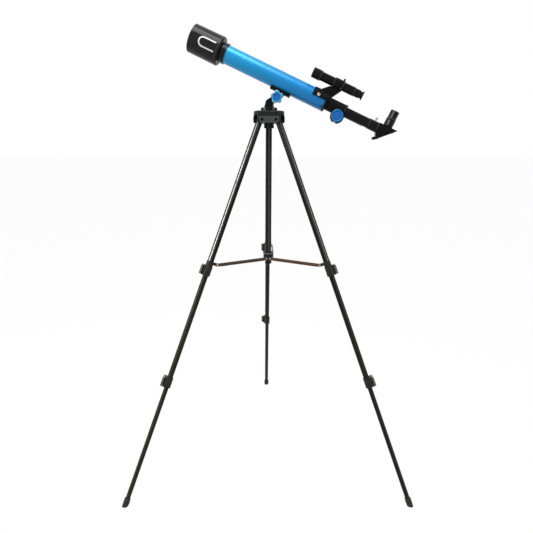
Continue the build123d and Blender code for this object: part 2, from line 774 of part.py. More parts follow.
def make_dew_shield():
    """Hood over the lens cell, slightly tapered, with a finger grip let into the viewer's side."""
    front_radius = hood_front_diameter / 2
    rear_radius = hood_rear_diameter / 2
    hub_bore = cell_housing_radius + seat_gap
    profile = [
        (hood_front, front_radius, hood_lip_round),
        (hood_rear, rear_radius, hood_shoulder_round),
        (hood_rear, hub_bore),
        (hood_rear - hood_hub_length, hub_bore),
        (hood_rear - hood_hub_length, hub_bore + hood_wall),
        (hood_rear - hood_rear_wall, hub_bore + hood_wall),
        (hood_rear - hood_rear_wall, hood_throat),
        (hood_front + hood_mouth_depth, hood_throat),
        (hood_front + hood_mouth_depth, hood_bore),
        (hood_front, hood_bore, hood_lip_round),
    ]
    hood = turned(profile)
    outline = Pos(grip_width / 4, 0) * Rectangle(grip_length - grip_width / 2, grip_width)
    outline += Pos((grip_width - grip_length) / 2, 0) * Circle(grip_width / 2)
    cutter = extrude(Plane.XZ * outline, 2 * rear_radius)
    middle = hood_front + grip_start + grip_length / 2
    taper = (rear_radius - front_radius) / hood_length
    floor_radius = front_radius + taper * (middle - hood_front) - grip_depth
    cutter -= rod_x(-hood_length, hood_length, floor_radius)
    return on_tube(hood - Pos(middle, 0, 0) * cutter)


# Focuser, drawn about the optical axis

def make_focuser():
    """Moulded focuser: spigot, flange, cone and barrel, with a drum round the pinion."""
    barrel_start = tube_rear + focuser_flange_length + focuser_cone_length
    bore = drawtube_radius + drawtube_clearance
    cone_bore = tube_bore - focuser_cone_wall
    outer = [
        (tube_rear - focuser_spigot_length, 0),
        (tube_rear - focuser_spigot_length, tube_bore - seat_gap),
        (tube_rear + seat_gap, tube_bore - seat_gap),
        (tube_rear + seat_gap, focuser_flange_radius, focuser_flange_round),
        (tube_rear + focuser_flange_length, focuser_flange_radius, focuser_shoulder_round),
        (barrel_start, focuser_barrel_radius),
        (focuser_barrel_end - focuser_lip_length, focuser_barrel_radius),
        (focuser_barrel_end - focuser_lip_length, focuser_lip_radius, focuser_lip_round),
        (focuser_barrel_end, focuser_lip_radius, focuser_lip_round),
        (focuser_barrel_end, 0),
    ]
    body = turned(outer)
    pinion = Pos(pinion_station, 0, -pinion_drop)
    drum = rod_y(-drum_half_width, drum_half_width, drum_radius)
    drum = fillet(drum.edges(), drum_round)
    body += pinion * drum
    body -= rod_x(0, tube_rear, cone_bore)
    bore_end = max(focuser_barrel_end, pinion_station + drum_radius) + overrun
    body -= rod_x(tube_rear - overrun, bore_end, bore)
    rack_half = gear_width / 2 + gear_side_clearance
    rack_low = rack_pitch_drop + gear_module + gear_tip_clearance
    body -= block(tube_rear - overrun, bore_end, -rack_half, rack_half, -rack_low, 0)
    body -= pinion * rod_y(-rack_half, rack_half, pitch_radius + gear_module + gear_tip_clearance)
    shaft_slot = pinion_shaft_radius + running_clearance
    body -= block(pinion_station - shaft_slot, pinion_station + shaft_slot,
                  -2 * drum_half_width, 2 * drum_half_width, -2 * drum_flat_depth, -pinion_drop)
    body -= pinion * rod_y(-2 * drum_half_width, 2 * drum_half_width, shaft_slot)
    body -= block(0, 2 * pinion_station, -2 * drum_half_width, 2 * drum_half_width,
                  -2 * drum_flat_depth, -drum_flat_depth)
    return on_tube(body)


def make_pinion_cover():
    """Plate under the drum whose tongue closes the shaft's slot."""
    tongue_half = pinion_shaft_radius - seat_gap
    plate = block(pinion_station - pinion_cover_length / 2, pinion_station + pinion_cover_length / 2,
                  -drum_half_width, drum_half_width,
                  -drum_flat_depth - pinion_cover_thickness, -drum_flat_depth - seat_gap)
    plate = fillet(plate.edges().filter_by(Axis.Z), saddle_corner)
    tongue = block(pinion_station - tongue_half, pinion_station + tongue_half,
                   -drum_half_width, drum_half_width, -drum_flat_depth - pinion_cover_thickness, -pinion_drop)
    pinion = Pos(pinion_station, 0, -pinion_drop)
    rack_half = gear_width / 2 + gear_side_clearance
    cavity = rod_y(-rack_half, rack_half, pitch_radius + gear_module + gear_tip_clearance)
    bearing = rod_y(-2 * drum_half_width, 2 * drum_half_width, pinion_shaft_radius + running_clearance)
    return on_tube(plate + (tongue - pinion * cavity - pinion * bearing))


def make_drawtube():
    """Sliding tube with a moulded rack below and a collar for the diagonal."""
    tube = rod_x(drawtube_front, drawtube_rear, drawtube_radius)
    collar = rod_x(drawtube_rear - drawtube_collar_length, drawtube_rear, drawtube_collar_radius)
    collar = fillet(collar.edges().sort_by(Axis.X)[0], drawtube_collar_radius - drawtube_radius)
    tube += collar
    pitch = math.pi * gear_module
    slope = math.tan(math.radians(gear_pressure_angle))
    gap_half = (pitch + gear_backlash) / 4
    tip = -rack_pitch_drop - gear_addendum * gear_module
    root = -rack_pitch_drop + gear_dedendum * gear_module
    first = pinion_station + pitch * math.floor((rack_front - pinion_station) / pitch)
    outline = [(first, -drawtube_bore), (first, tip)]
    for tooth in range(1, rack_teeth):
        gap = first + tooth * pitch
        tip_half = gap_half + gear_addendum * gear_module * slope
        root_half = gap_half - gear_dedendum * gear_module * slope
        outline += [(gap - tip_half, tip), (gap - root_half, root)]
        outline += [(gap + root_half, root), (gap + tip_half, tip)]
    last = first + rack_teeth * pitch
    outline += [(last, tip), (last, -drawtube_bore)]
    rack = side_plate(make_face(Polyline(*outline, close=True)), gear_width / 2)
    tube += rack
    tube -= rod_x(drawtube_front - overrun, drawtube_rear + overrun, drawtube_bore)
    screw_hole = rod_z(0, 2 * drawtube_radius, thumbscrew_radius + running_clearance)
    return on_tube(tube - Pos(thumbscrew_station, 0, 0) * screw_hole)


def make_pinion():
    """Shaft across the drum with the pinion's teeth in the middle."""
    root = pitch_radius - gear_dedendum * gear_module
    tip = pitch_radius + gear_addendum * gear_module
    half = (math.pi * gear_module - gear_backlash) / 4
    foot = tooth_root_width * half
    point = tooth_tip_width * half
    tooth = Polygon((0, -foot), (root, -foot), (pitch_radius, -half), (tip, -point),
                    (tip, point), (pitch_radius, half), (root, foot), (0, foot), align=None)
    gear = Circle(root) + PolarLocations(0, pinion_teeth, 90) * tooth
    shaft_half = focus_knob_end - focus_knob_groove_depth - 2 * focus_knob_dish_depth
    pinion = side_plate(gear, gear_width / 2) + rod_y(-shaft_half, shaft_half, pinion_shaft_radius)
    return on_tube(Pos(pinion_station, 0, -pinion_drop) * pinion)


def make_focus_knobs():
    """A pair of turned knobs with a raised rim, a ring groove and a hub."""
    rim = focus_knob_radius - focus_knob_rim
    boss_start = drum_half_width + body_gap
    groove = focus_knob_end - focus_knob_groove_depth
    hub_face = focus_knob_end - focus_knob_dish_depth
    blind = groove - 2 * focus_knob_dish_depth + seat_gap
    profile = [
        (boss_start, pinion_shaft_radius + seat_gap),
        (boss_start, focus_knob_boss_radius),
        (focus_knob_start, focus_knob_boss_radius),
        (focus_knob_start, focus_knob_radius, focus_knob_edge_round),
        (focus_knob_end, focus_knob_radius, focus_knob_round),
        (focus_knob_end, rim, focus_knob_edge_round),
        (groove, rim - focus_knob_dish_depth),
        (groove, focus_knob_hub_radius),
        (hub_face, focus_knob_hub_radius - focus_knob_dish_depth),
        (hub_face, 0),
        (blind, 0),
        (blind, pinion_shaft_radius + seat_gap),
    ]
    knob = turned(profile)
    place = Pos(pinion_station, 0, tube_axis_height - pinion_drop)
    return [place * Rot(0, 0, 90 * side) * knob for side in (-1, 1)]


def make_thumbscrew():
    """Small screw in the drawtube's collar that holds the diagonal's barrel."""
    tip = barrel_radius + body_gap
    head_start = drawtube_collar_radius + thumbscrew_stand_off
    screw = rod_z(tip, head_start + overrun, thumbscrew_radius)
    head = rod_z(head_start, head_start + thumbscrew_head_height, thumbscrew_head_radius)
    head = fillet(head.edges(), thumbscrew_round)
    return on_tube(Pos(thumbscrew_station, 0, 0) * (screw + head))


# Star diagonal and eyepiece, drawn about the optical axis

def mirror_frame():
    """Frame on the mirror's face: X along the slope, Y across, Z out of the back."""
    return Plane(origin=(eyepiece_station, 0, 0), x_dir=(1, 0, 1), z_dir=(1, 0, -1))


def make_diagonal_housing():
    """Three-sided housing with a socket for its barrel and a holder for the eyepiece."""
    front = drawtube_rear + body_gap
    slant = eyepiece_station + mirror_pocket_depth * math.sqrt(2)
    outline = Polygon((front, diagonal_top), (slant + diagonal_top, diagonal_top),
                      (slant - diagonal_bottom, -diagonal_bottom), (front, -drawtube_collar_radius),
                      align=None)
    body = side_plate(outline, diagonal_half_width)
    body = fillet(body.edges().filter_by(Axis.Z), diagonal_edge_round)
    body += Pos(eyepiece_station, 0, 0) * rod_z(0, holder_top, holder_radius)
    slope = mirror_frame()
    beyond = slope.location * block(-3 * mirror_half_length, 3 * mirror_half_length,
                                    -2 * diagonal_half_width, 2 * diagonal_half_width,
                                    mirror_pocket_depth, 4 * diagonal_half_width)
    body -= beyond
    light = rod_x(0, eyepiece_station, diagonal_light_radius)
    light += Pos(eyepiece_station, 0, 0) * rod_z(0, 2 * holder_top, diagonal_light_radius)
    light += Pos(eyepiece_station, 0, 0) * Sphere(diagonal_light_radius)
    behind = slope.location * block(-3 * mirror_half_length, 3 * mirror_half_length,
                                    -2 * diagonal_half_width, 2 * diagonal_half_width,
                                    0, 4 * diagonal_half_width)
    body -= light - behind
    body -= Pos(eyepiece_station, 0, 0) * rod_z(
        eyepiece_bottom - seat_gap, 2 * holder_top, barrel_radius + slip_clearance)
    body -= rod_x(front - overrun, front + diagonal_barrel_spigot + seat_gap, barrel_radius + seat_gap)
    pocket = block(-mirror_half_length - seat_gap, mirror_half_length + seat_gap,
                   -mirror_half_width - seat_gap, mirror_half_width + seat_gap, 0, 2 * mirror_pocket_depth)
    return on_tube(body - slope.location * pocket)


def make_diagonal_barrel():
    """Barrel that slips into the drawtube, its other end seated in the housing."""
    start = drawtube_rear - diagonal_barrel_length
    end = drawtube_rear + body_gap + diagonal_barrel_spigot
    barrel = rod_x(start, end, barrel_radius)
    return on_tube(barrel - rod_x(start - overrun, end + overrun, diagonal_light_radius))


def make_diagonal_mirror():
    """Flat mirror at 45 degrees where the two light paths meet."""
    glass = block(-mirror_half_length, mirror_half_length, -mirror_half_width, mirror_half_width,
                  seat_gap, mirror_thickness)
    return on_tube(mirror_frame().location * glass)


def make_diagonal_cover():
    """Slanted back plate, pointed at the top and beaded below, with a pad that holds the mirror."""
    back = mirror_pocket_depth + cover_thickness
    lower_end = mirror_pocket_depth - diagonal_bottom * math.sqrt(2) - cover_overhang
    upper_end = back + diagonal_top * math.sqrt(2)
    plate = block(lower_end, upper_end, -diagonal_half_width, diagonal_half_width,
                  mirror_pocket_depth + seat_gap, back)
    plate += Pos(lower_end, 0, back - cover_bead_radius) * rod_y(
        -diagonal_half_width, diagonal_half_width, cover_bead_radius)
    pad = block(-mirror_half_length + body_gap, mirror_half_length - body_gap,
                -mirror_half_width + body_gap, mirror_half_width - body_gap,
                mirror_thickness + seat_gap, mirror_pocket_depth + overrun)
    cover = mirror_frame().location * (plate + pad)
    above = block(0, 2 * eyepiece_station, -2 * diagonal_half_width, 2 * diagonal_half_width,
                  diagonal_top, 4 * diagonal_top)
    return on_tube(cover - above)


def make_eyepiece():
    """Eyepiece: a barrel for the holder under a slightly larger body with a shallow eye cup."""
    profile = [
        (eyepiece_bottom, eyepiece_field_radius),
        (eyepiece_bottom, barrel_radius),
        (holder_top + seat_gap, barrel_radius),
        (holder_top + seat_gap, eyepiece_body_radius, eyepiece_shoulder_round),
        (eyepiece_top, eyepiece_body_radius, eyepiece_top_round),
        (eyepiece_top, eyepiece_cup_radius, eyepiece_cup_round),
        (eyepiece_top - eyepiece_cup_depth, eyepiece_eye_opening),
        (eyepiece_top - 2 * eyepiece_cup_depth, eyepiece_eye_opening),
        (eyepiece_top - 2 * eyepiece_cup_depth, eyepiece_eye_radius),
        (eyepiece_bottom + eyepiece_field_depth, eyepiece_eye_radius),
        (eyepiece_bottom + eyepiece_field_depth, eyepiece_field_radius),
    ]
    body = turned(profile)
    return on_tube(Pos(eyepiece_station, 0, 0) * Rot(0, -90, 0) * body)


def make_eyepiece_lenses():
    """Field lens and eye lens of the eyepiece."""
    field_end = eyepiece_bottom + eyepiece_field_depth - seat_gap
    field = lens_solid(field_end - field_lens_thickness, field_lens_thickness,
                       eyepiece_field_radius - seat_gap, field_lens_bulge, -eye_lens_hollow)
    eye_end = eyepiece_top - 2 * eyepiece_cup_depth - seat_gap
    eye = lens_solid(eye_end - eye_lens_thickness, eye_lens_thickness, eyepiece_eye_radius - seat_gap,
                     eye_lens_bulge, -eye_lens_hollow)
    place = Pos(eyepiece_station, 0, 0) * Rot(0, -90, 0)
    return [on_tube(place * field), on_tube(place * eye)]


# Finder, drawn about its own axis and then lifted above the tube

def on_finder(shape):
    """Lifts a piece drawn about the finder's axis to its place."""
    return Pos(0, 0, tube_axis_height + finder_height) * shape


def make_finder_tube():
    """Stepped finder body with a bell at the front."""
    bell_end = finder_front + finder_bell_length
    flange = finder_eyepiece_end - finder_eyepiece_flange_length
    rear = flange - finder_eyepiece_neck_length - finder_eyepiece_gap
    lens_seat = finder_front + finder_lens_setback + finder_lens_thickness
    lens_bore = finder_bell_radius - finder_wall
    light_bore = finder_rear_radius - finder_wall
    profile = [
        (finder_front, lens_bore),
        (finder_front, finder_bell_radius, finder_bell_round),
        (bell_end, finder_bell_radius, finder_bell_round),
        (bell_end, finder_body_radius),
        (finder_step, finder_body_radius, finder_step_round),
        (finder_step, finder_rear_radius),
        (rear, finder_rear_radius, finder_step_round),
        (rear, light_bore),
        (lens_seat, light_bore),
        (lens_seat, lens_bore),
    ]
    return on_finder(turned(profile))


def make_finder_lens():
    """Single objective of the finder."""
    start = finder_front + finder_lens_setback - seat_gap
    radius = finder_bell_radius - finder_wall - seat_gap
    return on_finder(lens_solid(start, finder_lens_thickness, radius, finder_lens_bulge, -eye_lens_hollow))


def make_finder_eyepiece():
    """Focusing eyepiece that slides in the finder's rear end."""
    flange = finder_eyepiece_end - finder_eyepiece_flange_length
    neck = flange - finder_eyepiece_neck_length
    insert = neck - finder_eyepiece_gap - finder_eyepiece_insert
    insert_radius = finder_rear_radius - finder_wall - running_clearance
    profile = [
        (insert, finder_eye_opening),
        (insert, insert_radius),
        (flange, insert_radius),
        (flange, finder_eyepiece_flange_radius, finder_step_round),
        (finder_eyepiece_end, finder_eyepiece_flange_radius, finder_step_round),
        (finder_eyepiece_end, finder_eye_opening + finder_wall),
        (flange, finder_eye_opening),
    ]
    return on_finder(turned(profile))


def make_finder_bracket():
    """Curved foot on the tube, a broad stalk that leans over the focuser and the finder's ring."""
    foot_radius = tube_radius + seat_gap
    foot = rod_x(bracket_foot_front, bracket_foot_rear, foot_radius + bracket_foot_thickness)
    reach = 2 * tube_radius
    side = reach * math.sin(math.radians(bracket_foot_half_angle))
    up = reach * math.cos(math.radians(bracket_foot_half_angle))
    sector = Polygon((0, 0), (side, up), (side, 2 * reach), (-side, 2 * reach), (-side, up), align=None)
    wedge = extrude(Plane.YZ * sector, bracket_foot_length + 2 * overrun)
    foot = foot & Pos(bracket_foot_front - overrun, 0, 0) * wedge
    ring_rear = bracket_ring_front + bracket_ring_length
    ring = rod_x(bracket_ring_front, ring_rear, bracket_ring_radius - bracket_ring_lip)
    ring += rod_x(ring_rear - bracket_ring_lip_length, ring_rear, bracket_ring_radius)
    ring = Pos(0, 0, finder_height) * ring
    foot_top = foot_radius + bracket_foot_thickness / 2
    ring_low = finder_height - bracket_ring_radius + 2 * bracket_ring_lip
    heel_front = tube_rear + focuser_flange_length + focuser_cone_length + body_gap
    heel_low = focuser_barrel_radius + 2 * body_gap
    stalk = Polygon((bracket_stalk_foot_front, foot_top), (heel_front, foot_top), (heel_front, heel_low),
                    (heel_front + bracket_stalk_heel, heel_low), (ring_rear, ring_low),
                    (bracket_stalk_top_front, ring_low), align=None)
    body = foot + side_plate(stalk, bracket_stalk_half_width) + ring
    body -= rod_x(bracket_foot_front - overrun, bracket_foot_rear + overrun, foot_radius)
    bore = Pos(0, 0, finder_height) * rod_x(
        bracket_ring_front - overrun, ring_rear + overrun, finder_body_radius + bracket_ring_clearance)
    body -= bore
    screw_hole = rod_z(0, 2 * bracket_ring_radius, finder_screw_radius + seat_gap)
    for place in finder_screw_places():
        body -= place * screw_hole
    return on_tube(body)


def finder_screw_places():
    """Places of the three centring screws, about the finder's axis."""
    station = bracket_ring_front + bracket_ring_length - finder_screw_setback
    return [Pos(station, 0, finder_height) * Rot(angle, 0, 0) for angle in (0, 120, 240)]


def make_finder_screws():
    """Three centring screws through the ring."""
    shank = rod_z(finder_body_radius + seat_gap, bracket_ring_radius + overrun, finder_screw_radius)
    head = rod_z(bracket_ring_radius + body_gap, bracket_ring_radius + finder_screw_head_height,
                 finder_screw_head_radius)
    return [on_tube(place * (shank + head)) for place in finder_screw_places()]


def make_finder_nuts():
    """Round nuts that hold the bracket's foot to the tube, one each side."""
    seat = tube_radius + bracket_foot_thickness + 2 * seat_gap
    nut = rod_z(seat, seat + finder_nut_height, finder_nut_radius)
    nut = fillet(nut.edges().sort_by(Axis.Z)[-1], finder_nut_round)
    angle = bracket_foot_half_angle - math.degrees((finder_nut_radius + finder_nut_inset) / tube_radius)
    return [on_tube(Pos(finder_nut_station, 0, 0) * Rot(side * angle, 0, 0) * nut) for side in (-1, 1)]


def on_mount(shape):
    """Turns a neck piece to the telescope's heading."""
    return Rot(0, 0, -telescope_yaw) * shape


def on_telescope(shape):
    """Tilts a telescope piece about the altitude axis and turns it to its heading."""
    return on_mount(Pos(altitude_offset, 0, altitude_height) * Rot(0, telescope_elevation, 0) * shape)


def gather(pieces, place):
    """Places one solid or a list of separate solids."""
    if isinstance(pieces, list):
        return Compound(children=[place(piece) for piece in pieces])
    return place(pieces)


tripod_pieces = {
    "crown": make_crown(),
    "crown_plates": make_crown_plates(),
    "leg_pivot_pins": make_pivot_pins(),
    "centre_column": make_column(),
    "column_cap": make_column_cap(),
    "spreader_hub": make_hub(),
}
mount_pieces = {
    "yoke": make_yoke(),
    "altitude_bolt": make_altitude_bolt(),
    "altitude_knob": make_altitude_knob(),
}
telescope_pieces = {
    "main_tube": make_main_tube(),
    "saddle": make_saddle(),
    "lens_cell": make_lens_cell(),
    "objective_lens": make_objective(),
    "lens_retainer": make_retainer(),
    "dew_shield": make_dew_shield(),
    "focuser_body": make_focuser(),
    "pinion_cover": make_pinion_cover(),
    "drawtube": make_drawtube(),
    "pinion_shaft": make_pinion(),
    "focus_knobs": make_focus_knobs(),
    "drawtube_thumbscrew": make_thumbscrew(),
    "diagonal_housing": make_diagonal_housing(),
    "diagonal_barrel": make_diagonal_barrel(),
    "diagonal_mirror": make_diagonal_mirror(),
    "diagonal_cover": make_diagonal_cover(),
    "eyepiece_body": make_eyepiece(),
    "eyepiece_lenses": make_eyepiece_lenses(),
    "finder_bracket": make_finder_bracket(),
    "finder_tube": make_finder_tube(),
    "finder_lens": make_finder_lens(),
    "finder_eyepiece": make_finder_eyepiece(),
    "finder_screws": make_finder_screws(),
    "finder_nuts": make_finder_nuts(),
}

nodes = {name: gather(shape, lambda piece: piece) for name, shape in tripod_pieces.items()}
nodes.update({name: gather(shape, on_mount) for name, shape in mount_pieces.items()})
nodes.update({name: gather(shape, on_telescope) for name, shape in telescope_pieces.items()})
for leg_name, leg_direction in leg_directions.items():
    nodes[f"{leg_name}_arm"] = Rot(0, 0, leg_direction) * make_arm(arm_sides[leg_name])
    for piece_name, shape in make_leg(leg_name).items():
        nodes[f"{leg_name}_{piece_name}"] = shape

# The origin is on the floor, in the middle of the whole object's outline
corners = [shape.bounding_box() for shape in nodes.values()]
middle_x = (min(box.min.X for box in corners) + max(box.max.X for box in corners)) / 2
middle_y = (min(box.min.Y for box in corners) + max(box.max.Y for box in corners)) / 2

os.makedirs("parts", exist_ok=True)
for name, shape in nodes.items():
    export_step(Pos(-middle_x, -middle_y, 0) * shape, f"parts/{name}.step")
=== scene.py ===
# %% [markdown]
# # A small refractor telescope on a folding tripod
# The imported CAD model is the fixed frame. It already holds the tubes, the gears, the clamps and the
# folding brace. This lesson adds what a CAD solid leaves out: finishes, screws, rivets, knurling,
# moulded ribs and the light of a plain studio.

# %% Load the frame
import bpy
import bmesh
import json
import math
from mathutils import Matrix, Vector


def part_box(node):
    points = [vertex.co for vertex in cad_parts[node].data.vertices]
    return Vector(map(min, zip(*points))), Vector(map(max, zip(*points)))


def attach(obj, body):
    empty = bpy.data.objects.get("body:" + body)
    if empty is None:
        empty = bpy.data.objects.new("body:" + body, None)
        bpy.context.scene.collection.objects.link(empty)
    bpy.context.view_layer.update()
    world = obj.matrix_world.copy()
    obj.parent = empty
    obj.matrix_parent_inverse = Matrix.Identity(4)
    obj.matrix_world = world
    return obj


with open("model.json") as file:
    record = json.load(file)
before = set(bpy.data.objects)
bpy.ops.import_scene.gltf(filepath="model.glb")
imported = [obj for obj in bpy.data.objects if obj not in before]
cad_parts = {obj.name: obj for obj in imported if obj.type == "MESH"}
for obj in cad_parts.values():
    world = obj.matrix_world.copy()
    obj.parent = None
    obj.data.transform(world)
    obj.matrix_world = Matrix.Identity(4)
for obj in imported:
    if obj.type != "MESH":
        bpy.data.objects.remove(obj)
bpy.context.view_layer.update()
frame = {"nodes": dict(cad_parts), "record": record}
nodes = frame["nodes"]
joints = {joint["name"]: joint for joint in frame["record"]["behaviour"]["joints"]}
scene = bpy.context.scene

# %% [markdown]
# ## Local directions
# A part is easier to dress in its own directions than in the room's. The record's joints give them:
# the altitude joint's axis runs across the telescope, the drawtube slides along it, and what is square to
# both points up from it. Stations along the tube are counted from the altitude axis.

# %% Telescope frame and tripod axis
MM = 0.001


def joint_axis(name):
    return Vector(joints[name]["axis"]).normalized()


def joint_place(name):
    return Vector(joints[name]["pos_m"])


along = joint_axis("drawtube_slide")
across = joint_axis("altitude_tilt")
above = along.cross(across).normalized()
if above.z < 0:
    above.negate()
telescope = Matrix((along, across, above)).transposed().to_4x4()
telescope.translation = joint_place("altitude_tilt")
axis_lift = 45.5 * MM


def on_telescope(station, side, height):
    """A point given in millimetres along the tube, across it and above the optical axis."""
    return telescope @ Vector((station * MM, side * MM, axis_lift + height * MM))


tripod_axis = joint_place("azimuth_turn")
straight_up = Vector((0, 0, 1))


def on_axis(height):
    """A point on the tripod's axis at a height in metres."""
    return Vector((tripod_axis.x, tripod_axis.y, height))


def compass(turn):
    """The level direction at an angle in degrees, counted from X towards Y."""
    return Vector((math.cos(math.radians(turn)), math.sin(math.radians(turn)), 0))


def box_middle(node):
    low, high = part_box(node)
    return (low + high) / 2


leg_names = ("left", "right", "back")
print("tripod axis at", tripod_axis[:], "tube direction", along[:])

# %% [markdown]
# ## The camera
# The photograph was taken from about a metre and a half away, a little below the telescope, with the
# camera tipped down. Matching the feet, clamps and crown in the picture gives its place, its angle and
# its focal length. No lens shift is needed.

# %% Camera
picture_size = 533
focal_pixels = 460.0
sensor_width = 36.0
camera_data = bpy.data.cameras.new("camera")
camera_data.sensor_width = sensor_width
camera_data.lens = sensor_width * focal_pixels / picture_size
camera = bpy.data.objects.new("camera", camera_data)
scene.collection.objects.link(camera)
camera_place = on_axis(1.0462) + Vector((-0.0157, -1.4204, 0))
camera_turn = -0.0072
camera_tip = 0.2499
camera_roll = 0.0042
camera.matrix_world = (
    Matrix.Translation(camera_place)
    @ Matrix.Rotation(camera_turn, 4, "Z")
    @ Matrix.Rotation(math.pi / 2 - camera_tip, 4, "X")
    @ Matrix.Rotation(camera_roll, 4, "Z")
)
scene.camera = camera
print("camera at", [round(v, 3) for v in camera.matrix_world.translation])

# %% [markdown]
# ## Light
# Black and blue gloss show their shape only by what they mirror, so the studio has one wide soft lamp
# above, and two tall ones at the sides that draw streaks down the legs. The world is white to the camera
# and to rays that come by a mirror or a lens, and to every other ray a dim sky that fills the shadows.

# %% Studio
scene.view_settings.view_transform = "Standard"


def soft_lamp(name, place, target, width, height, power):
    """A rectangular lamp that faces a target."""
    data = bpy.data.lights.new(name, "AREA")
    data.shape = "RECTANGLE"
    data.size = width
    data.size_y = height
    data.energy = power
    lamp = bpy.data.objects.new(name, data)
    scene.collection.objects.link(lamp)
    lamp.location = place
    lamp.rotation_euler = (target - place).to_track_quat("-Z", "Y").to_euler()


middle = on_axis(0.75)
lamps = (
    # name, place and aim from the object's middle, width, height, power
    ("overhead lamp", (-0.35, -0.4, 2.0), (-0.2, -0.2, 0.5), 1.6, 1.0, 36),
    ("left lamp", (-1.7, -1.0, 0.8), (-0.1, 0, 0.3), 0.45, 1.4, 24),
    ("right lamp", (1.8, -1.0, 0.8), (0, 0, 0), 0.45, 1.4, 12),
)
for lamp_name, place, aim, width, height, power in lamps:
    soft_lamp(lamp_name, middle + Vector(place), middle + Vector(aim), width, height, power)


def tree_node(tree, kind, settings=None, sockets=None):
    """One node of a tree, its settings first, then the values or links of its sockets."""
    node = tree.nodes.new(kind)
    for key, value in (settings or {}).items():
        setattr(node, key, value)
    for key, value in (sockets or {}).items():
        if isinstance(value, bpy.types.NodeSocket):
            tree.links.new(value, node.inputs[key])
        else:
            node.inputs[key].default_value = value
    return node


def seen_directly(tree):
    """One for rays from the camera, a mirror or a lens, and nothing for the rays that carry light."""
    rays = tree_node(tree, "ShaderNodeLightPath")
    total = rays.outputs["Is Camera Ray"]
    for kind in ("Is Glossy Ray", "Is Transmission Ray"):
        pair = {0: total, 1: rays.outputs[kind]}
        total = tree_node(tree, "ShaderNodeMath", {"operation": "MAXIMUM"}, pair).outputs[0]
    return total


def mixed(tree, factor, first, second):
    """A Mix Shader between the outputs of two shader nodes."""
    sockets = {0: factor, 1: first.outputs[0], 2: second.outputs[0]}
    return tree_node(tree, "ShaderNodeMixShader", sockets=sockets)


world = bpy.data.worlds.new("studio world")
scene.world = world
world.use_nodes = True
sky = world.node_tree
dim_sky = sky.nodes["Background"]
dim_sky.inputs["Color"].default_value = (0.9, 0.95, 1.0, 1)
dim_sky.inputs["Strength"].default_value = 0.10
white_sky = tree_node(sky, "ShaderNodeBackground", sockets={"Color": (1, 1, 1, 1)})
sky_mix = mixed(sky, seen_directly(sky), dim_sky, white_sky)
sky.links.new(sky_mix.outputs[0], sky.nodes["World Output"].inputs["Surface"])
print("lamps", len(lamps))

# %% [markdown]
# ## Writing shaders as sums
# A finish is a small calculation: a noise times a strength plus a colour. Wrapping a socket in a class
# with + - * lets Python lay out the Math nodes, so a finish reads as the formula it is.

# %% Shader helpers


class Value:
    """A shader socket that can be added, subtracted and multiplied."""

    def __init__(self, tree, socket):
        self.tree = tree
        self.socket = socket

    def feed(self, target):
        self.tree.links.new(self.socket, target)

    def math(self, operation, first, second):
        pair = [value.socket if isinstance(value, Value) else value for value in (first, second)]
        node = tree_node(self.tree, "ShaderNodeMath", {"operation": operation}, dict(enumerate(pair)))
        return Value(self.tree, node.outputs[0])

    def __add__(self, other):
        return self.math("ADD", self, other)

    def __radd__(self, other):
        return self.math("ADD", other, self)

    def __sub__(self, other):
        return self.math("SUBTRACT", self, other)

    def __rsub__(self, other):
        return self.math("SUBTRACT", other, self)

    def __mul__(self, other):
        return self.math("MULTIPLY", self, other)

    def __rmul__(self, other):
        return self.math("MULTIPLY", other, self)


class Finish:
    """A material with one Principled shader, whose nodes are added by one method."""

    def __init__(self, name, **constants):
        self.material = bpy.data.materials.new(name)
        self.material.use_nodes = True
        self.tree = self.material.node_tree
        self.shader = self.tree.nodes["Principled BSDF"]
        for socket, value in constants.items():
            self.set(socket.replace("_", " "), value)

    def set(self, socket, value):
        target = self.shader.inputs[socket]
        if isinstance(value, Value):
            value.feed(target)
        else:
            target.default_value = value

    def node(self, kind, settings=None, sockets=None, output=0):
        node = tree_node(self.tree, "ShaderNode" + kind, settings)
        for key, value in (sockets or {}).items():
            if isinstance(value, Value):
                value.feed(node.inputs[key])
            elif isinstance(value, tuple) and len(value) == 3 and node.inputs[key].type == "RGBA":
                node.inputs[key].default_value = (*value, 1.0)
            else:
                node.inputs[key].default_value = value
        return Value(self.tree, node.outputs[output])

    def spot(self):
        """The point that is shaded, in Object coordinates."""
        return self.node("TexCoord", output="Object")

    def place(self, stretch=(1, 1, 1), turn=(0, 0, 0)):
        return self.node("Mapping", sockets={"Vector": self.spot(), "Rotation": turn, "Scale": stretch})

    def noise(self, scale, detail=2.0, where=None):
        sockets = {"Vector": where or self.place(), "Scale": scale, "Detail": detail}
        return self.node("TexNoise", sockets=sockets)

    def vector(self, operation, first, second, output="Vector"):
        return self.node("VectorMath", {"operation": operation}, {0: first, 1: tuple(second)}, output)

    def dot(self, first, second):
        return self.vector("DOT_PRODUCT", first, second, "Value")

    def ramp(self, value, start, end):
        """Nothing at the start, one at the end, and held there."""
        return self.node("MapRange", sockets={"Value": value, "From Min": start, "From Max": end})

    def between(self, factor, dark, light):
        """A mix of two colours. Sockets 6 and 7 and output 2 are the Mix node's colour ones."""
        return self.node("Mix", {"data_type": "RGBA"}, {0: factor, 6: dark, 7: light}, output=2)

    def relief(self, height, strength, distance):
        bump = self.node("Bump", sockets={"Height": height, "Strength": strength, "Distance": distance})
        self.set("Normal", bump)


print("shader helpers ready")

# %% [markdown]
# ## Black plastics
# Most of the mount is moulded black plastic. Up close it is never one black: the mould leaves a fine
# grain, handling polishes patches of it, and dust greys it a little. A fine noise makes the grain as
# bump, a broad one shifts the roughness and lifts the black towards grey.

# %% Moulded black finishes


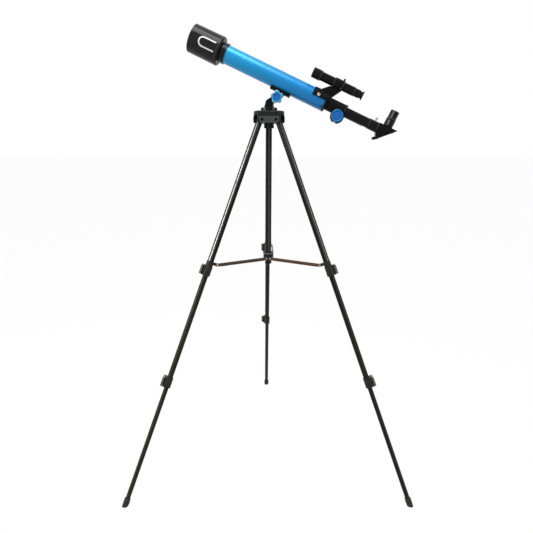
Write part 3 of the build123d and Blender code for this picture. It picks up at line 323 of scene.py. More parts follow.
def moulded(name, dark, light, roughness, grain, depth, specular=0.5):
    """Moulded plastic with a fine grain, uneven polish and a little greying."""
    finish = Finish(name, Specular_IOR_Level=specular)
    patches = finish.noise(38.0, 3.0)
    fine = finish.noise(grain, 2.0)
    finish.set("Base Color", finish.between(patches * 0.7 + fine * 0.3, dark, light))
    finish.set("Roughness", roughness + (patches - 0.5) * 0.16 + (fine - 0.5) * 0.08)
    finish.relief(fine, 0.25, depth)
    return finish.material


black_plastic = moulded(
    "moulded black", (0.004, 0.004, 0.004), (0.009, 0.009, 0.009), 0.32, 1500.0, 0.0004, 0.06
)
grey_plastic = moulded(
    "dark grey plate", (0.046, 0.047, 0.049), (0.086, 0.087, 0.090), 0.40, 1500.0, 0.0004, 0.20
)
lever_plastic = moulded(
    "charcoal lever", (0.095, 0.108, 0.095), (0.165, 0.184, 0.160), 0.34, 1300.0, 0.0005, 0.20
)
foot_rubber = moulded(
    "foot rubber", (0.020, 0.019, 0.012), (0.050, 0.048, 0.033), 0.66, 900.0, 0.0008, 0.25
)
clamp_black = moulded(
    "clamp charcoal", (0.015, 0.016, 0.011), (0.038, 0.039, 0.029), 0.36, 1300.0, 0.0004, 0.14
)
crown_black = moulded(
    "crown black", (0.012, 0.013, 0.013), (0.027, 0.028, 0.028), 0.36, 1500.0, 0.0004, 0.12
)
# painted highlight: a paler grey for the rim bands
painted_highlight_rim = moulded(
    "rims with painted highlight", (0.034, 0.035, 0.037), (0.085, 0.087, 0.090), 0.34, 900.0, 0.0003, 0.30
)
print("moulded finishes ready")

# %% [markdown]
# The hood, the finder, the drawtube and the eyepiece are gloss black. Their gloss has a slight orange
# peel from the mould, seen as a soft wobble in the streaks, and faint rubbing that dulls it in places.

# %% Gloss black


def gloss_black(name, colour, roughness, peel, specular):
    finish = Finish(name, Coat_Roughness=0.06, Specular_IOR_Level=specular)
    faintly_streaked = finish.noise(60.0, 4.0)
    wave = finish.noise(220.0, 1.0)
    finish.set("Base Color", finish.between(faintly_streaked, colour, tuple(c * 2.5 for c in colour)))
    finish.set("Roughness", roughness + faintly_streaked * 0.10)
    finish.set("Coat Weight", 0.10 + faintly_streaked * 0.10)
    finish.relief(wave, 0.12, peel)
    return finish.material


hood_black = gloss_black("gloss hood black", (0.003, 0.003, 0.003), 0.22, 0.0006, 0.12)
tube_black = gloss_black("gloss tube black", (0.0012, 0.0012, 0.0012), 0.20, 0.0005, 0.06)
print("gloss finishes", hood_black.name, tube_black.name)

# %% [markdown]
# ## Metallic blue
# The tube is rolled aluminium with a coloured lacquer over fine metal flake. A tiny noise scatters the
# flake's brightness, a second one stretched along the tube gives the faint drawn lines, and the clear
# lacquer on top is a coat. The colour is painted lighter at the front and deeper at the rear, a painted
# falloff of the light along the tube. The knobs are a deeper blue in gloss plastic, with a painted
# highlight: their turned edges and rims are painted paler than their flat faces, following how squarely
# a face looks along the knob's axis and how far out it lies.

# %% Blue finishes
tube_turn = telescope.to_3x3().inverted().to_euler()


def blue_lacquer():
    finish = Finish("blue lacquered tube", Coat_Weight=0.55, Coat_Roughness=0.30, Specular_IOR_Level=0.08)
    drawn = finish.noise(60.0, 2.0, finish.place((0.4, 26, 26), tube_turn))
    flake = finish.noise(2600.0, 1.0)
    sheen = 0.5 + (flake - 0.5) * 0.08 + (drawn - 0.5) * 0.35
    # painted light: the colour is lighter at the front and deeper at the rear
    painted_lit_front = finish.between(sheen, (0.000, 0.262, 0.550), (0.000, 0.352, 0.670))
    painted_shaded_rear = finish.between(sheen, (0.000, 0.165, 0.470), (0.000, 0.225, 0.580))
    front, rear = (on_telescope(station, 0, 0).dot(along) for station in (-190.0, 110.0))
    depth = finish.ramp(finish.dot(finish.spot(), along), front, rear)
    finish.set("Base Color", finish.between(depth, painted_lit_front, painted_shaded_rear))
    finish.set("Metallic", 0.28 + flake * 0.03)
    finish.set("Roughness", 0.36 + (drawn - 0.5) * 0.05)
    return finish.material


def blue_moulding(name, centre, inner, outer, painted_highlight_dark, painted_highlight_light):
    """Gloss blue plastic about a knob's axis: deep on flat faces, with a painted highlight on edges and rim.
    """
    finish = Finish(name, Coat_Weight=0.12, Coat_Roughness=0.1, Specular_IOR_Level=0.25)
    patches = finish.noise(90.0, 3.0)
    fine = finish.noise(900.0, 2.0)
    facing = finish.dot(finish.node("TexCoord", output="Normal"), across)
    edge = finish.ramp(facing * facing, 0.97, 0.45)
    swept = finish.vector("CROSS_PRODUCT", finish.vector("SUBTRACT", finish.spot(), centre), across)
    radius = finish.node("VectorMath", {"operation": "LENGTH"}, {0: swept}, "Value")
    rim = finish.ramp(radius, inner * MM, outer * MM)
    deep = finish.between(patches, (0.000, 0.120, 0.430), (0.003, 0.180, 0.560))
    # painted highlight: edges and the outer rim take the paler blue
    pale = finish.between(patches, painted_highlight_dark, painted_highlight_light)
    finish.set("Base Color", finish.between(edge.math("MAXIMUM", edge, rim), deep, pale))
    finish.set("Roughness", 0.24 + (fine - 0.5) * 0.12)
    finish.relief(fine, 0.10, 0.0003)
    return finish.material


blue_tube = blue_lacquer()
star_blue = blue_moulding(
    "blue star knob", joint_place("altitude_tilt"), 10.0, 18.0, (0.100, 0.540, 0.760), (0.240, 0.720, 0.860)
)
focus_blue = blue_moulding(
    "blue focus knob", joint_place("focus_turn"), 14.0, 24.0, (0.010, 0.240, 0.620), (0.030, 0.320, 0.740)
)
blue_grip = moulded(
    "blue grip ridges", (0.000, 0.090, 0.330), (0.003, 0.140, 0.450), 0.34, 900.0, 0.0003, 0.35
)
print("blue finishes", blue_tube.name, star_blue.name, focus_blue.name, blue_grip.name)

# %% [markdown]
# ## Leg tubes, arms and metal
# The legs are drawn tubes with a black coat. Drawing leaves long faint lines, which is a noise squeezed
# along the leg, and the coat looks browner towards the floor, so the colour follows the height. Along two
# lines at the edges of each leg's outer side, with a fainter line beside them, the colour is painted as
# bright metal: painted highlight streaks, picked out by the angle round the leg, strongest on the upper
# tubes. The brace arms are painted strip that has gone brown. Small fittings are plain or plated steel.

# %% Metal finishes


def black_tube(name, centre, direction, lines, brown=(0.022, 0.017, 0.007), browning=(0.85, 0.15)):
    """Black coat on a drawn tube, with painted highlight streaks along lines (compass angle, half width,
    strength).

    It turns brown between the two heights of browning.
    """
    finish = Finish(name, Coat_Roughness=0.10, Coat_Weight=0.06, Specular_IOR_Level=0.07)
    spot = finish.spot()
    low = finish.ramp(finish.dot(spot, straight_up), *browning)
    drawn = finish.noise(300.0, 2.0, finish.place((1, 1, 0.02)))
    blotch = finish.noise(45.0, 3.0)
    arm = finish.vector("SUBTRACT", spot, centre)
    # painted highlight: bright-metal streaks at set angles round the tube
    painted_streak = 0.0
    for turn, half_width, strength in lines:
        aim = compass(turn)
        aim = (aim - direction * aim.dot(direction)).normalized()
        sideways = finish.dot(arm, direction.cross(aim))
        swing = sideways.math("ARCTAN2", sideways, finish.dot(arm, aim))
        off = swing.math("ABSOLUTE", swing, 0.0) + (drawn - 0.5) * 0.10
        edge = math.radians(half_width)
        painted_streak = painted_streak + finish.ramp(off, edge, edge * 0.35) * strength
    black = finish.between(blotch, (0.003, 0.003, 0.003), (0.009, 0.009, 0.009))
    aged = finish.between(blotch, brown, tuple(c * 2.0 for c in brown))
    coat = finish.between(low, black, aged)
    finish.set("Base Color", finish.between(painted_streak, coat, (0.48, 0.48, 0.46)))
    finish.set("Metallic", painted_streak * 0.8)
    finish.set("Roughness", 0.20 + (drawn - 0.5) * 0.16 + (blotch - 0.5) * 0.10)
    finish.relief(drawn, 0.10, 0.0004)
    return finish.material


def brown_strip():
    finish = Finish("brown-black strip", Specular_IOR_Level=0.35)
    blotch = finish.noise(70.0, 4.0)
    scuff = finish.noise(700.0, 2.0)
    finish.set("Base Color", finish.between(blotch, (0.050, 0.026, 0.010), (0.170, 0.085, 0.034)))
    finish.set("Roughness", 0.34 + (scuff - 0.5) * 0.24)
    finish.relief(scuff, 0.15, 0.0003)
    return finish.material


def bare_metal(name, dark, light, roughness, grain):
    finish = Finish(name, Metallic=1.0)
    scratch = finish.noise(grain, 3.0)
    finish.set("Base Color", finish.between(scratch, dark, light))
    finish.set("Roughness", roughness + (scratch - 0.5) * 0.2)
    finish.relief(scratch, 0.08, 0.0002)
    return finish.material


# the column and the eyepiece carry painted highlight streaks at these compass angles
column_black = black_tube("black coated column", tripod_axis, straight_up, [(276, 26, 0.16), (300, 9, 0.10)])
eyepiece_black = black_tube(
    "black coated eyepiece",
    box_middle("eyepiece_body"),
    joint_axis("eyepiece_pull"),
    [(243, 15, 0.30), (310, 13, 0.16), (222, 6, 0.10)],
)
leg_blacks = {}
leg_facts = {
    # compass angle of the outer side, strength of its painted streaks, brown near the floor
    "left": (210, 0.75, (0.020, 0.017, 0.007)),
    "right": (330, 0.30, (0.012, 0.009, 0.004)),
    "back": (90, 0.30, (0.026, 0.016, 0.007)),
}
edge_turn, beside_turn = 36, 62
for leg, (outward, streak_strength, brown) in leg_facts.items():
    leg_middle = box_middle(f"{leg}_upper_tube")
    leg_up = joint_axis(f"{leg}_middle_slide")
    edges = (outward - edge_turn, outward + edge_turn)
    beside = outward + (-beside_turn if leg == "right" else beside_turn)
    painted_streak_lines = [(edge, 13, streak_strength) for edge in edges] + [(beside, 9, 0.12)]
    leg_blacks[leg, "upper"] = black_tube(f"black coated {leg} leg", leg_middle, leg_up, painted_streak_lines, brown)
    faint_painted_streaks = [(edge, 20, 0.05) for edge in edges]
    sliding = black_tube(f"rubbed {leg} leg", leg_middle, leg_up, faint_painted_streaks, brown, (1.0, 0.45))
    leg_blacks[leg, "middle"] = leg_blacks[leg, "lower"] = sliding
arm_brown = brown_strip()
plain_steel = bare_metal("plain steel", (0.30, 0.30, 0.31), (0.52, 0.52, 0.54), 0.34, 900.0)
plated = bare_metal("bright plating", (0.66, 0.66, 0.68), (0.86, 0.86, 0.88), 0.16, 500.0)
nut_metal = bare_metal("dull nut plating", (0.30, 0.28, 0.25), (0.52, 0.49, 0.45), 0.26, 700.0)
dark_screw = bare_metal("blackened screw", (0.025, 0.025, 0.027), (0.070, 0.070, 0.075), 0.40, 1200.0)
print("metal finishes ready")

# %% [markdown]
# ## Glass, mirror and white line
# Each lens is clear glass with a thin coating that tints it a little, strongest where the noise is
# thick. The diagonal's mirror is bright silvering with a faint haze. The line round the hood's grip is
# white paint.

# %% Optical finishes and white paint


def coated_glass(name, tint):
    finish = Finish(name, Transmission_Weight=1.0, IOR=1.52)
    film = finish.noise(25.0, 2.0)
    finish.set("Base Color", finish.between(film, (0.92, 0.96, 0.98), tint))
    finish.set("Roughness", film * 0.012)
    return finish.material


lens_glass = coated_glass("coated lens glass", (0.66, 0.80, 0.98))
mirror_glass = bare_metal("silvered mirror", (0.86, 0.86, 0.88), (0.92, 0.92, 0.94), 0.11, 60.0)


def line_paint():
    finish = Finish("white line paint", Specular_IOR_Level=0.4)
    edge = finish.noise(800.0, 2.0)
    finish.set("Base Color", finish.between(edge, (0.82, 0.82, 0.81), (0.92, 0.92, 0.91)))
    finish.set("Roughness", 0.45 + edge * 0.15)
    return finish.material


white_line = line_paint()
print("optical finishes ready")

# %% [markdown]
# ## Dressing the CAD nodes
# A node keeps its shape and only takes a better material. The first table follows the record's slots, so
# every node is dressed by what it is made of. The second names the nodes with a finish of their own.

# %% Assign materials
slot_finishes = {
    "black_plastic": black_plastic,
    "grey_plastic": grey_plastic,
    "lever_plastic": lever_plastic,
    "gloss_black": tube_black,
    "blue_paint": blue_tube,
    "blue_plastic": focus_blue,
    "steel": plain_steel,
    "bright_chrome": plated,
    "lens_glass": lens_glass,
    "mirror_glass": mirror_glass,
    "black_aluminium": column_black,
    "painted_strip": arm_brown,
    "foot_rubber": foot_rubber,
}
node_finishes = {
    "dew_shield": hood_black,
    "crown": crown_black,
    "spreader_hub": clamp_black,
    "lens_cell": hood_black,
    "altitude_knob": star_blue,
    "finder_screws": dark_screw,
    "eyepiece_body": eyepiece_black,
    "finder_nuts": nut_metal,
}
for leg in leg_names:
    for section in ("upper", "middle", "lower"):
        node_finishes[f"{leg}_{section}_tube"] = leg_blacks[leg, section]
    for clamp in ("upper", "lower"):
        node_finishes[f"{leg}_{clamp}_clamp"] = clamp_black
for part in frame["record"]["subparts"]:
    piece = nodes[part["node"]]
    finish = node_finishes.get(part["node"], slot_finishes[part["material_slot"]])
    piece.data.materials.clear()
    piece.data.materials.append(finish)

# %% [markdown]
# ## Geometry Nodes for what repeats
# Screws, rivets and knurled ridges repeat by rule, so they come from two node trees. The first puts a
# fastener on every point of a small mesh and stands it up along a direction stored on that point. The
# second sets ridges in a ring. Both end in Realize Instances and Set Material, and the result is kept as
# a plain mesh.

# %% Node tree helpers


def new_tree(name, inputs):
    """An empty geometry tree with a Geometry socket each way and the named inputs."""
    tree = bpy.data.node_groups.new(name, "GeometryNodeTree")
    tree.interface.new_socket("Geometry", in_out="INPUT", socket_type="NodeSocketGeometry")
    tree.interface.new_socket("Geometry", in_out="OUTPUT", socket_type="NodeSocketGeometry")
    for label, kind in inputs.items():
        tree.interface.new_socket(label, in_out="INPUT", socket_type="NodeSocket" + kind)
    return tree


def finish_tree(tree, geometry, material):
    real = tree_node(tree, "GeometryNodeRealizeInstances", sockets={"Geometry": geometry})
    painting = {"Geometry": real.outputs[0], "Material": material}
    painted = tree_node(tree, "GeometryNodeSetMaterial", sockets=painting)
    tree_node(tree, "NodeGroupOutput", sockets={0: painted.outputs[0]})


def grow(name, tree, values, start_mesh, place=None):
    """Runs a tree on a mesh and gives the result as a plain mesh, put at its place."""
    carrier = bpy.data.objects.new(name + " carrier", start_mesh)
    scene.collection.objects.link(carrier)
    modifier = carrier.modifiers.new("grow", "NODES")
    modifier.node_group = tree
    for item in tree.interface.items_tree:
        if item.item_type == "SOCKET" and item.in_out == "INPUT" and item.name in values:
            modifier[item.identifier] = values[item.name]
    graph = bpy.context.evaluated_depsgraph_get()
    mesh = bpy.data.meshes.new_from_object(carrier.evaluated_get(graph))
    bpy.data.objects.remove(carrier)
    if place is not None:
        mesh.transform(place)
    mesh.name = name
    return mesh


def settle(name, mesh, body):
    """Makes a mesh a piece of the scene that rides on a body."""
    piece = bpy.data.objects.new(name, mesh)
    scene.collection.objects.link(piece)
    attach(piece, body)
    return piece


print("tree helpers ready")

# %% Fastener tree
fastener_tree = new_tree("fasteners on points", {"Fastener": "Object", "Size": "Float", "Finish": "Material"})
entry = tree_node(fastener_tree, "NodeGroupInput")
shape = tree_node(fastener_tree, "GeometryNodeObjectInfo", sockets={"Object": entry.outputs["Fastener"]})
facing = tree_node(
    fastener_tree, "GeometryNodeInputNamedAttribute", {"data_type": "FLOAT_VECTOR"}, {"Name": "facing"}
)
stand = tree_node(
    fastener_tree, "FunctionNodeAlignRotationToVector", {"axis": "Z"}, {"Vector": facing.outputs[0]}
)
copies = tree_node(
    fastener_tree,
    "GeometryNodeInstanceOnPoints",
    sockets={
        "Points": entry.outputs["Geometry"],
        "Instance": shape.outputs["Geometry"],
        "Rotation": stand.outputs[0],
        "Scale": entry.outputs["Size"],
    },
)
finish_tree(fastener_tree, copies.outputs[0], entry.outputs["Finish"])
print("fastener tree has", len(fastener_tree.nodes), "nodes")

# %% Ridge ring tree
ridge_tree = new_tree(
    "ridges in a ring",
    {"Ridges": "Int", "Radius": "Float", "Width": "Float", "Length": "Float", "Finish": "Material"},
)
entry = tree_node(ridge_tree, "NodeGroupInput")
ring = tree_node(
    ridge_tree,
    "GeometryNodeMeshCircle",
    sockets={"Vertices": entry.outputs["Ridges"], "Radius": entry.outputs["Radius"]},
)
ridge = tree_node(
    ridge_tree,
    "GeometryNodeMeshCylinder",
    sockets={"Vertices": 8, "Radius": entry.outputs["Width"], "Depth": entry.outputs["Length"]},
)
copies = tree_node(
    ridge_tree,
    "GeometryNodeInstanceOnPoints",
    sockets={"Points": ring.outputs[0], "Instance": ridge.outputs[0]},
)
finish_tree(ridge_tree, copies.outputs[0], entry.outputs["Finish"])
print("ridge tree has", len(ridge_tree.nodes), "nodes")

# %% [markdown]
# ## One good screw, one good rivet
# Every fastener is a copy of two small shapes. The screw is a low dome with a cross cut into it and the
# rivet a plain dome with a rim. Both are turned from a short profile with a radius of one, and the tree
# scales them to size.

# %% Fastener shapes


def turned_mesh(name, profile, steps):
    """A closed shape turned about Z from (radius, height) points that start and end on the axis."""
    shape = bmesh.new()
    rings = []
    for radius, height in profile:
        if radius == 0:
            rings.append([shape.verts.new((0, 0, height))])
        else:
            turns = [2 * math.pi * i / steps for i in range(steps)]
            spots = [(radius * math.cos(turn), radius * math.sin(turn), height) for turn in turns]
            rings.append([shape.verts.new(spot) for spot in spots])
    for low, high in zip(rings, rings[1:]):
        for i in range(steps):
            j = (i + 1) % steps
            corners = [low[i % len(low)], low[j % len(low)], high[j % len(high)], high[i % len(high)]]
            unique = list(dict.fromkeys(corners))
            if len(unique) > 2:
                shape.faces.new(unique)
    bmesh.ops.recalc_face_normals(shape, faces=shape.faces)
    mesh = bpy.data.meshes.new(name)
    shape.to_mesh(mesh)
    shape.free()
    return mesh


def cross_screw_mesh():
    """The dome with a cross recess, cut by pushing down the points nearest to two crossed bars."""
    rim = [(0, 0), (1.0, 0), (1.0, 0.18), (0.93, 0.34)]
    dome = [(0.74, 0.50), (0.52, 0.58), (0.34, 0.61), (0.16, 0.62), (0, 0.62)]
    cross_reach, cross_half_width, cross_depth, dome_foot = 0.60, 0.13, 0.26, 0.5
    mesh = turned_mesh("cross screw", rim + dome, steps=32)
    for vertex in mesh.vertices:
        reach = math.hypot(vertex.co.x, vertex.co.y)
        bar = min(abs(vertex.co.x), abs(vertex.co.y))
        if reach < cross_reach and bar < cross_half_width and vertex.co.z > dome_foot:
            vertex.co.z -= cross_depth
    return mesh


screw_pattern = bpy.data.objects.new("screw pattern", cross_screw_mesh())
rivet_profile = [(0, 0), (1.0, 0), (1.0, 0.14), (0.90, 0.34), (0.66, 0.52), (0.36, 0.62), (0, 0.65)]
rivet_pattern = bpy.data.objects.new("rivet pattern", turned_mesh("rivet", rivet_profile, steps=24))


def fasteners(name, body, pattern, size, finish, spots):
    """Fasteners at (place, direction) spots, as one piece on one body."""
    points = bpy.data.meshes.new(name + " points")
    points.from_pydata([tuple(place) for place, _ in spots], [], [])
    directions = points.attributes.new("facing", "FLOAT_VECTOR", "POINT")
    directions.data.foreach_set("vector", [c for _, direction in spots for c in direction])
    values = {"Fastener": pattern, "Size": size * MM, "Finish": finish}
    settle(name, grow(name, fastener_tree, values, points), body)


def ridges(name, body, place, count, radius, width, length, finish):
    """A ring of ridges about a place's Z axis, as one piece on one body."""
    values = {
        "Ridges": count,
        "Radius": radius * MM,
        "Width": width * MM,
        "Length": length * MM,
        "Finish": finish,
    }
    start = bpy.data.meshes.new(name + " start")
    settle(name, grow(name, ridge_tree, values, start, place), body)


def stand_at(place, direction):
    """A matrix that puts Z along a direction at a place."""
    return Matrix.Translation(place) @ Vector(direction).to_track_quat("Z", "Y").to_matrix().to_4x4()


print("fastener patterns ready")

# %% [markdown]
# ## Screws on the telescope
# Three dark screws hold the focuser in the tube's rear end, four the slanted cover of the diagonal, and
# four the plate under the pinion. Directions come from the same local frame as the places.

# %% Tube, diagonal and pinion screws
tube_radius = 26.0
screw_station = 125.0


def round_tube(turn):
    """The side and the rise, for a radius of one, at an angle in degrees round the tube from its top."""
    return -math.sin(math.radians(turn)), math.cos(math.radians(turn))


tube_spots = []
for turn in (128, 248, 8):
    side, rise = round_tube(turn)
    place = on_telescope(screw_station, side * tube_radius, rise * tube_radius)
    tube_spots.append((place, across * side + above * rise))
fasteners("tube_screws", "optical_tube", screw_pattern, 3.4, dark_screw, tube_spots)

slope_along = (along + above).normalized()
slope_out = (along - above).normalized()
eye_station = 322.5
cover_lift = 11.5
cover_middle = on_telescope(eye_station, 0, 0) + slope_out * cover_lift * MM
cover_spots = []
for slide in (-27.0, 17.0):
    for side in (-11.0, 11.0):
        cover_spots.append((cover_middle + slope_along * slide * MM + across * side * MM, slope_out))
fasteners("cover_screws", "star_diagonal", screw_pattern, 2.0, dark_screw, cover_spots)

pinion_station = 178.5
pinion_cover_floor = -38.4
pinion_spots = []
for offset in (-7.0, 7.0):
    for side in (-10.0, 10.0):
        pinion_spots.append((on_telescope(pinion_station + offset, side, pinion_cover_floor), -above))
fasteners("pinion_screws", "optical_tube", screw_pattern, 1.7, dark_screw, pinion_spots)
print("telescope screws", len(tube_spots) + len(cover_spots) + len(pinion_spots))

# %% [markdown]
# ## Screws and rivets on the tripod
# Each crown plate has a screw in both wells. Every lever turns on a pin whose ends show as rivet heads
# above and below the knuckle, and every brace arm has a plated rivet at both ends.

# %% Crown, lever and arm fasteners
crown_spots = []
well_floor = 34.4
plate_middle = on_axis(1.129)
for turn in (270, 30, 150):
    out = compass(turn)
    aside = Vector((-out.y, out.x, 0))
    for offset in (-20.0, 20.0):
        crown_spots.append((plate_middle + out * well_floor * MM + aside * offset * MM, out))
fasteners("crown_screws", "tripod_head", screw_pattern, 3.4, black_plastic, crown_spots)

pin_half_length = 13.5
arm_face = 2.3
arm_length = 167.91
for leg in leg_names:
    leg_up = joint_axis(f"{leg}_middle_slide")
    for which, body in (("upper", f"{leg}_leg"), ("lower", f"{leg}_middle_section")):
        pin = joint_place(f"{leg}_{which}_lever_flip")
        ends = [(pin + end * pin_half_length * MM, end) for end in (leg_up, -leg_up)]
        fasteners(f"{leg}_{which}_pin_heads", body, rivet_pattern, 2.2, plain_steel, ends)
    inner = joint_place(f"{leg}_arm_fold")
    outward = Vector((inner.x - tripod_axis.x, inner.y - tripod_axis.y, 0))
    fold_axis = joint_axis(f"{leg}_arm_fold")
    side = fold_axis if fold_axis.dot(outward) > 0 else -fold_axis
    reach = side.cross(straight_up)
    reach = reach if reach.dot(outward) > 0 else -reach
    face = inner + side * arm_face * MM
    rivets = [(face, side), (face + reach * arm_length * MM, side)]
    fasteners(f"{leg}_arm_rivets", f"{leg}_arm", rivet_pattern, 2.6, nut_metal, rivets)
print("tripod fasteners placed")

# %% [markdown]
# ## Knurling and ribs
# Fingers need grip: the focus knobs, the small thumbscrews and the finder's eyepiece all have fine
# ridges round the rim, and the turning collar has coarser ribs. The ridge tree makes each ring and the
# piece's own axis places it.

# %% Knurled rims
pinion_place = joint_place("focus_turn")
knob_middle = 25.6
knob_radius = 16.95
for label, sign in (("near", -1), ("far", 1)):
    place = stand_at(pinion_place + across * sign * knob_middle * MM, across)
    ring_name = f"{label}_focus_ridges"
    ridges(ring_name, "focus_drive", place, 60, knob_radius, 0.55, 8.4, blue_grip)
thumb_station, thumb_height = 284.5, 21.3
thumb_place = stand_at(on_telescope(thumb_station, 0, thumb_height), above)
ridges("thumbscrew_ridges", "drawtube_thumbscrew", thumb_place, 24, 3.5, 0.35, 5.4, plain_steel)
finder_lift = 59.1
finder_eye_station = 218.2
eye_ring = stand_at(on_telescope(finder_eye_station, 0, finder_lift), along)
ridges("finder_eyepiece_ridges", "finder_eyepiece", eye_ring, 40, 12.15, 0.5, 2.4, tube_black)
finder_screw_station = 154.0
screw_head = 18.2
for index, turn in enumerate((0, 120, 240)):
    side, rise = round_tube(turn)
    head = on_telescope(finder_screw_station, side * screw_head, finder_lift + rise * screw_head)
    place = stand_at(head, across * side + above * rise)
    ridges(f"finder_screw_ridges_{index}", "optical_tube", place, 18, 2.5, 0.3, 3.4, dark_screw)
collar_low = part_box("yoke")[0].z
collar = stand_at(on_axis(collar_low + 22.3 * MM), straight_up)
ridges("turntable_ribs", "turning_neck", collar, 30, 23.2, 0.9, 6.0, black_plastic)
print("knurled rims done")

# %% [markdown]
# ## The tail of the finder's foot
# Behind its nuts the foot runs on over the joint between tube and focuser, and a short web ties it to the
# focuser's barrel. It is a curved strip, so its four corners are carried round the tube step by step and
# joined to the row before, and the web is the same kind of row drawn straight back.

# %% Bracket tail


def skin(mesh_name, rows, finish, body, ring=False):
    """A closed bar, or a ring, through rows of four corners, as a piece on a body."""
    bar = bmesh.new()
    rings = [[bar.verts.new(corner) for corner in row] for row in rows]
    for first, second in zip(rings, rings[1:] + (rings[:1] if ring else [])):
        for i in range(4):
            j = (i + 1) % 4
            bar.faces.new((first[i], first[j], second[j], second[i]))
    if not ring:
        bar.faces.new(rings[0])
        bar.faces.new(rings[-1])
    bmesh.ops.recalc_face_normals(bar, faces=bar.faces)
    mesh = bpy.data.meshes.new(mesh_name)
    bar.to_mesh(mesh)
    bar.free()
    mesh.materials.append(finish)
    return settle(mesh_name, mesh, body)


tail_section = ((126.5, 26.3), (126.5, 28.55), (134.2, 28.35), (134.2, 26.3))
tail_rows = []
for turn in range(84, -85, -6):
    side, rise = round_tube(turn)
    row = [on_telescope(station, side * radius, rise * radius) for station, radius in tail_section]
    tail_rows.append(row)
skin("bracket_tail", tail_rows, black_plastic, "optical_tube")
web_steps = ((133.6, 19.0, 28.2, 5.5), (136.0, 18.6, 27.6, 5.4), (139.0, 18.6, 25.5, 5.0))
web_rows = []
for station, foot, top, half in web_steps:
    sides = ((-half, foot), (-half, top), (half, top), (half, foot))
    web_rows.append([on_telescope(station, side, height) for side, height in sides])
skin("bracket_web", web_rows, black_plastic, "optical_tube")
print("bracket tail rows", len(tail_rows), "web rows", len(web_rows))

# %% [markdown]
# ## The hub's bright line and tab
# A thin steel ring on the sliding hub stands in for the bright line there, a painted highlight, and a
# short tab hangs below it to pull it down by. The ring's radius is measured on the hub's own mesh, so it
# always fits.

# %% Hub ring and tab
hub_low, hub_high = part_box("spreader_hub")


def round_axis(turn, radius, height):
    """A point at a compass angle and a radius in millimetres about the tripod's axis."""
    return on_axis(height) + compass(turn) * radius * MM


def band(name, body, finish, centre, axis, radius, half_width, rise):
    """A thin ring that stands proud of a round surface of the given radius about an axis."""
    place = stand_at(centre, axis)
    sunk = 0.6
    section = ((-sunk, -1.0), (rise, -0.6), (rise, 0.6), (-sunk, 1.0))
    rows = []
    for turn in range(0, 360, 6):
        swing = math.radians(turn)
        row = []
        for out, share in section:
            reach = radius + out
            corner = Vector((reach * math.cos(swing), reach * math.sin(swing), share * half_width))
            row.append(place @ (corner * MM))
        rows.append(row)
    skin(name, rows, finish, body, ring=True)


def widest(node, low, high):
    """The radius in millimetres about the tripod's axis of a node's points between two heights."""
    points = [vertex.co for vertex in nodes[node].data.vertices if low <= vertex.co.z <= high]
    return max(math.hypot(p.x - tripod_axis.x, p.y - tripod_axis.y) for p in points) / MM


hub_radius = widest("spreader_hub", hub_high.z - 2.5 * MM, hub_high.z)
ring_centre = on_axis(hub_high.z - 3.6 * MM)
# painted highlight: a steel ring stands in for the bright line on the hub
band("hub_ring", "spreader_hub", plain_steel, ring_centre, straight_up, hub_radius, 0.9, 0.3)
tab_turn, tab_inner, tab_outer = 248, 11.4, 13.6
tab_rows = []
for drop, half in ((-4.0, 14.0), (9.0, 13.0), (16.0, 11.5), (18.5, 8.5)):
    corners = ((-half, tab_inner), (-half, tab_outer), (half, tab_outer), (half, tab_inner))
    tab_foot = hub_low.z - drop * MM
    tab_rows.append([round_axis(tab_turn + swing, radius, tab_foot) for swing, radius in corners])
skin("hub_tab", tab_rows, clamp_black, "spreader_hub")
print("hub radius", round(hub_radius, 2), "mm")

# %% [markdown]
# ## Ribs on the crown's boss and on the feet
# The boss that holds the column under the crown is moulded with three ribs, and each rubber foot has
# three rings round it. They are the same band, set about the column or about the leg. Two raised lugs
# stand on the turning collar in the levers' paler plastic, and their paler colour is a painted highlight.

# %% Boss ribs, foot rings and collar lugs
boss_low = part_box("crown")[0].z
boss_radius = widest("crown", boss_low, boss_low + 1.0 * MM)
for index, rise in enumerate((2.0, 5.0, 8.0)):
    centre = on_axis(boss_low + rise * MM)
    rib_name = f"boss_rib_{index}"
    band(rib_name, "tripod_head", crown_black, centre, straight_up, boss_radius, 0.9, 0.5)
foot_radius = 9.0
for leg in leg_names:
    leg_up = joint_axis(f"{leg}_middle_slide")
    leg_middle = box_middle(f"{leg}_upper_tube")
    foot_middle = leg_middle + leg_up * (box_middle(f"{leg}_foot") - leg_middle).dot(leg_up)
    body = f"{leg}_lower_section"
    for index, rise in enumerate((-2.5, 0.5, 3.5)):
        centre = foot_middle + leg_up * rise * MM
        ring_name = f"{leg}_foot_ring_{index}"
        band(ring_name, body, foot_rubber, centre, leg_up, foot_radius, 0.8, 0.45)
# painted highlight: the lugs' paler plastic shows the light patches on the collar
lug_section = ((22.0, 19.4), (25.2, 19.8), (25.2, 24.8), (22.0, 25.2))
for label, turn in (("left", 236), ("right", 304)):
    lug_rows = []
    for swing in range(-9, 10, 3):
        lug_rows.append([round_axis(turn + swing, out, collar_low + rise * MM) for out, rise in lug_section])
    skin(f"{label}_collar_lug", lug_rows, lever_plastic, "turning_neck")
print("boss radius", round(boss_radius, 2), "mm")
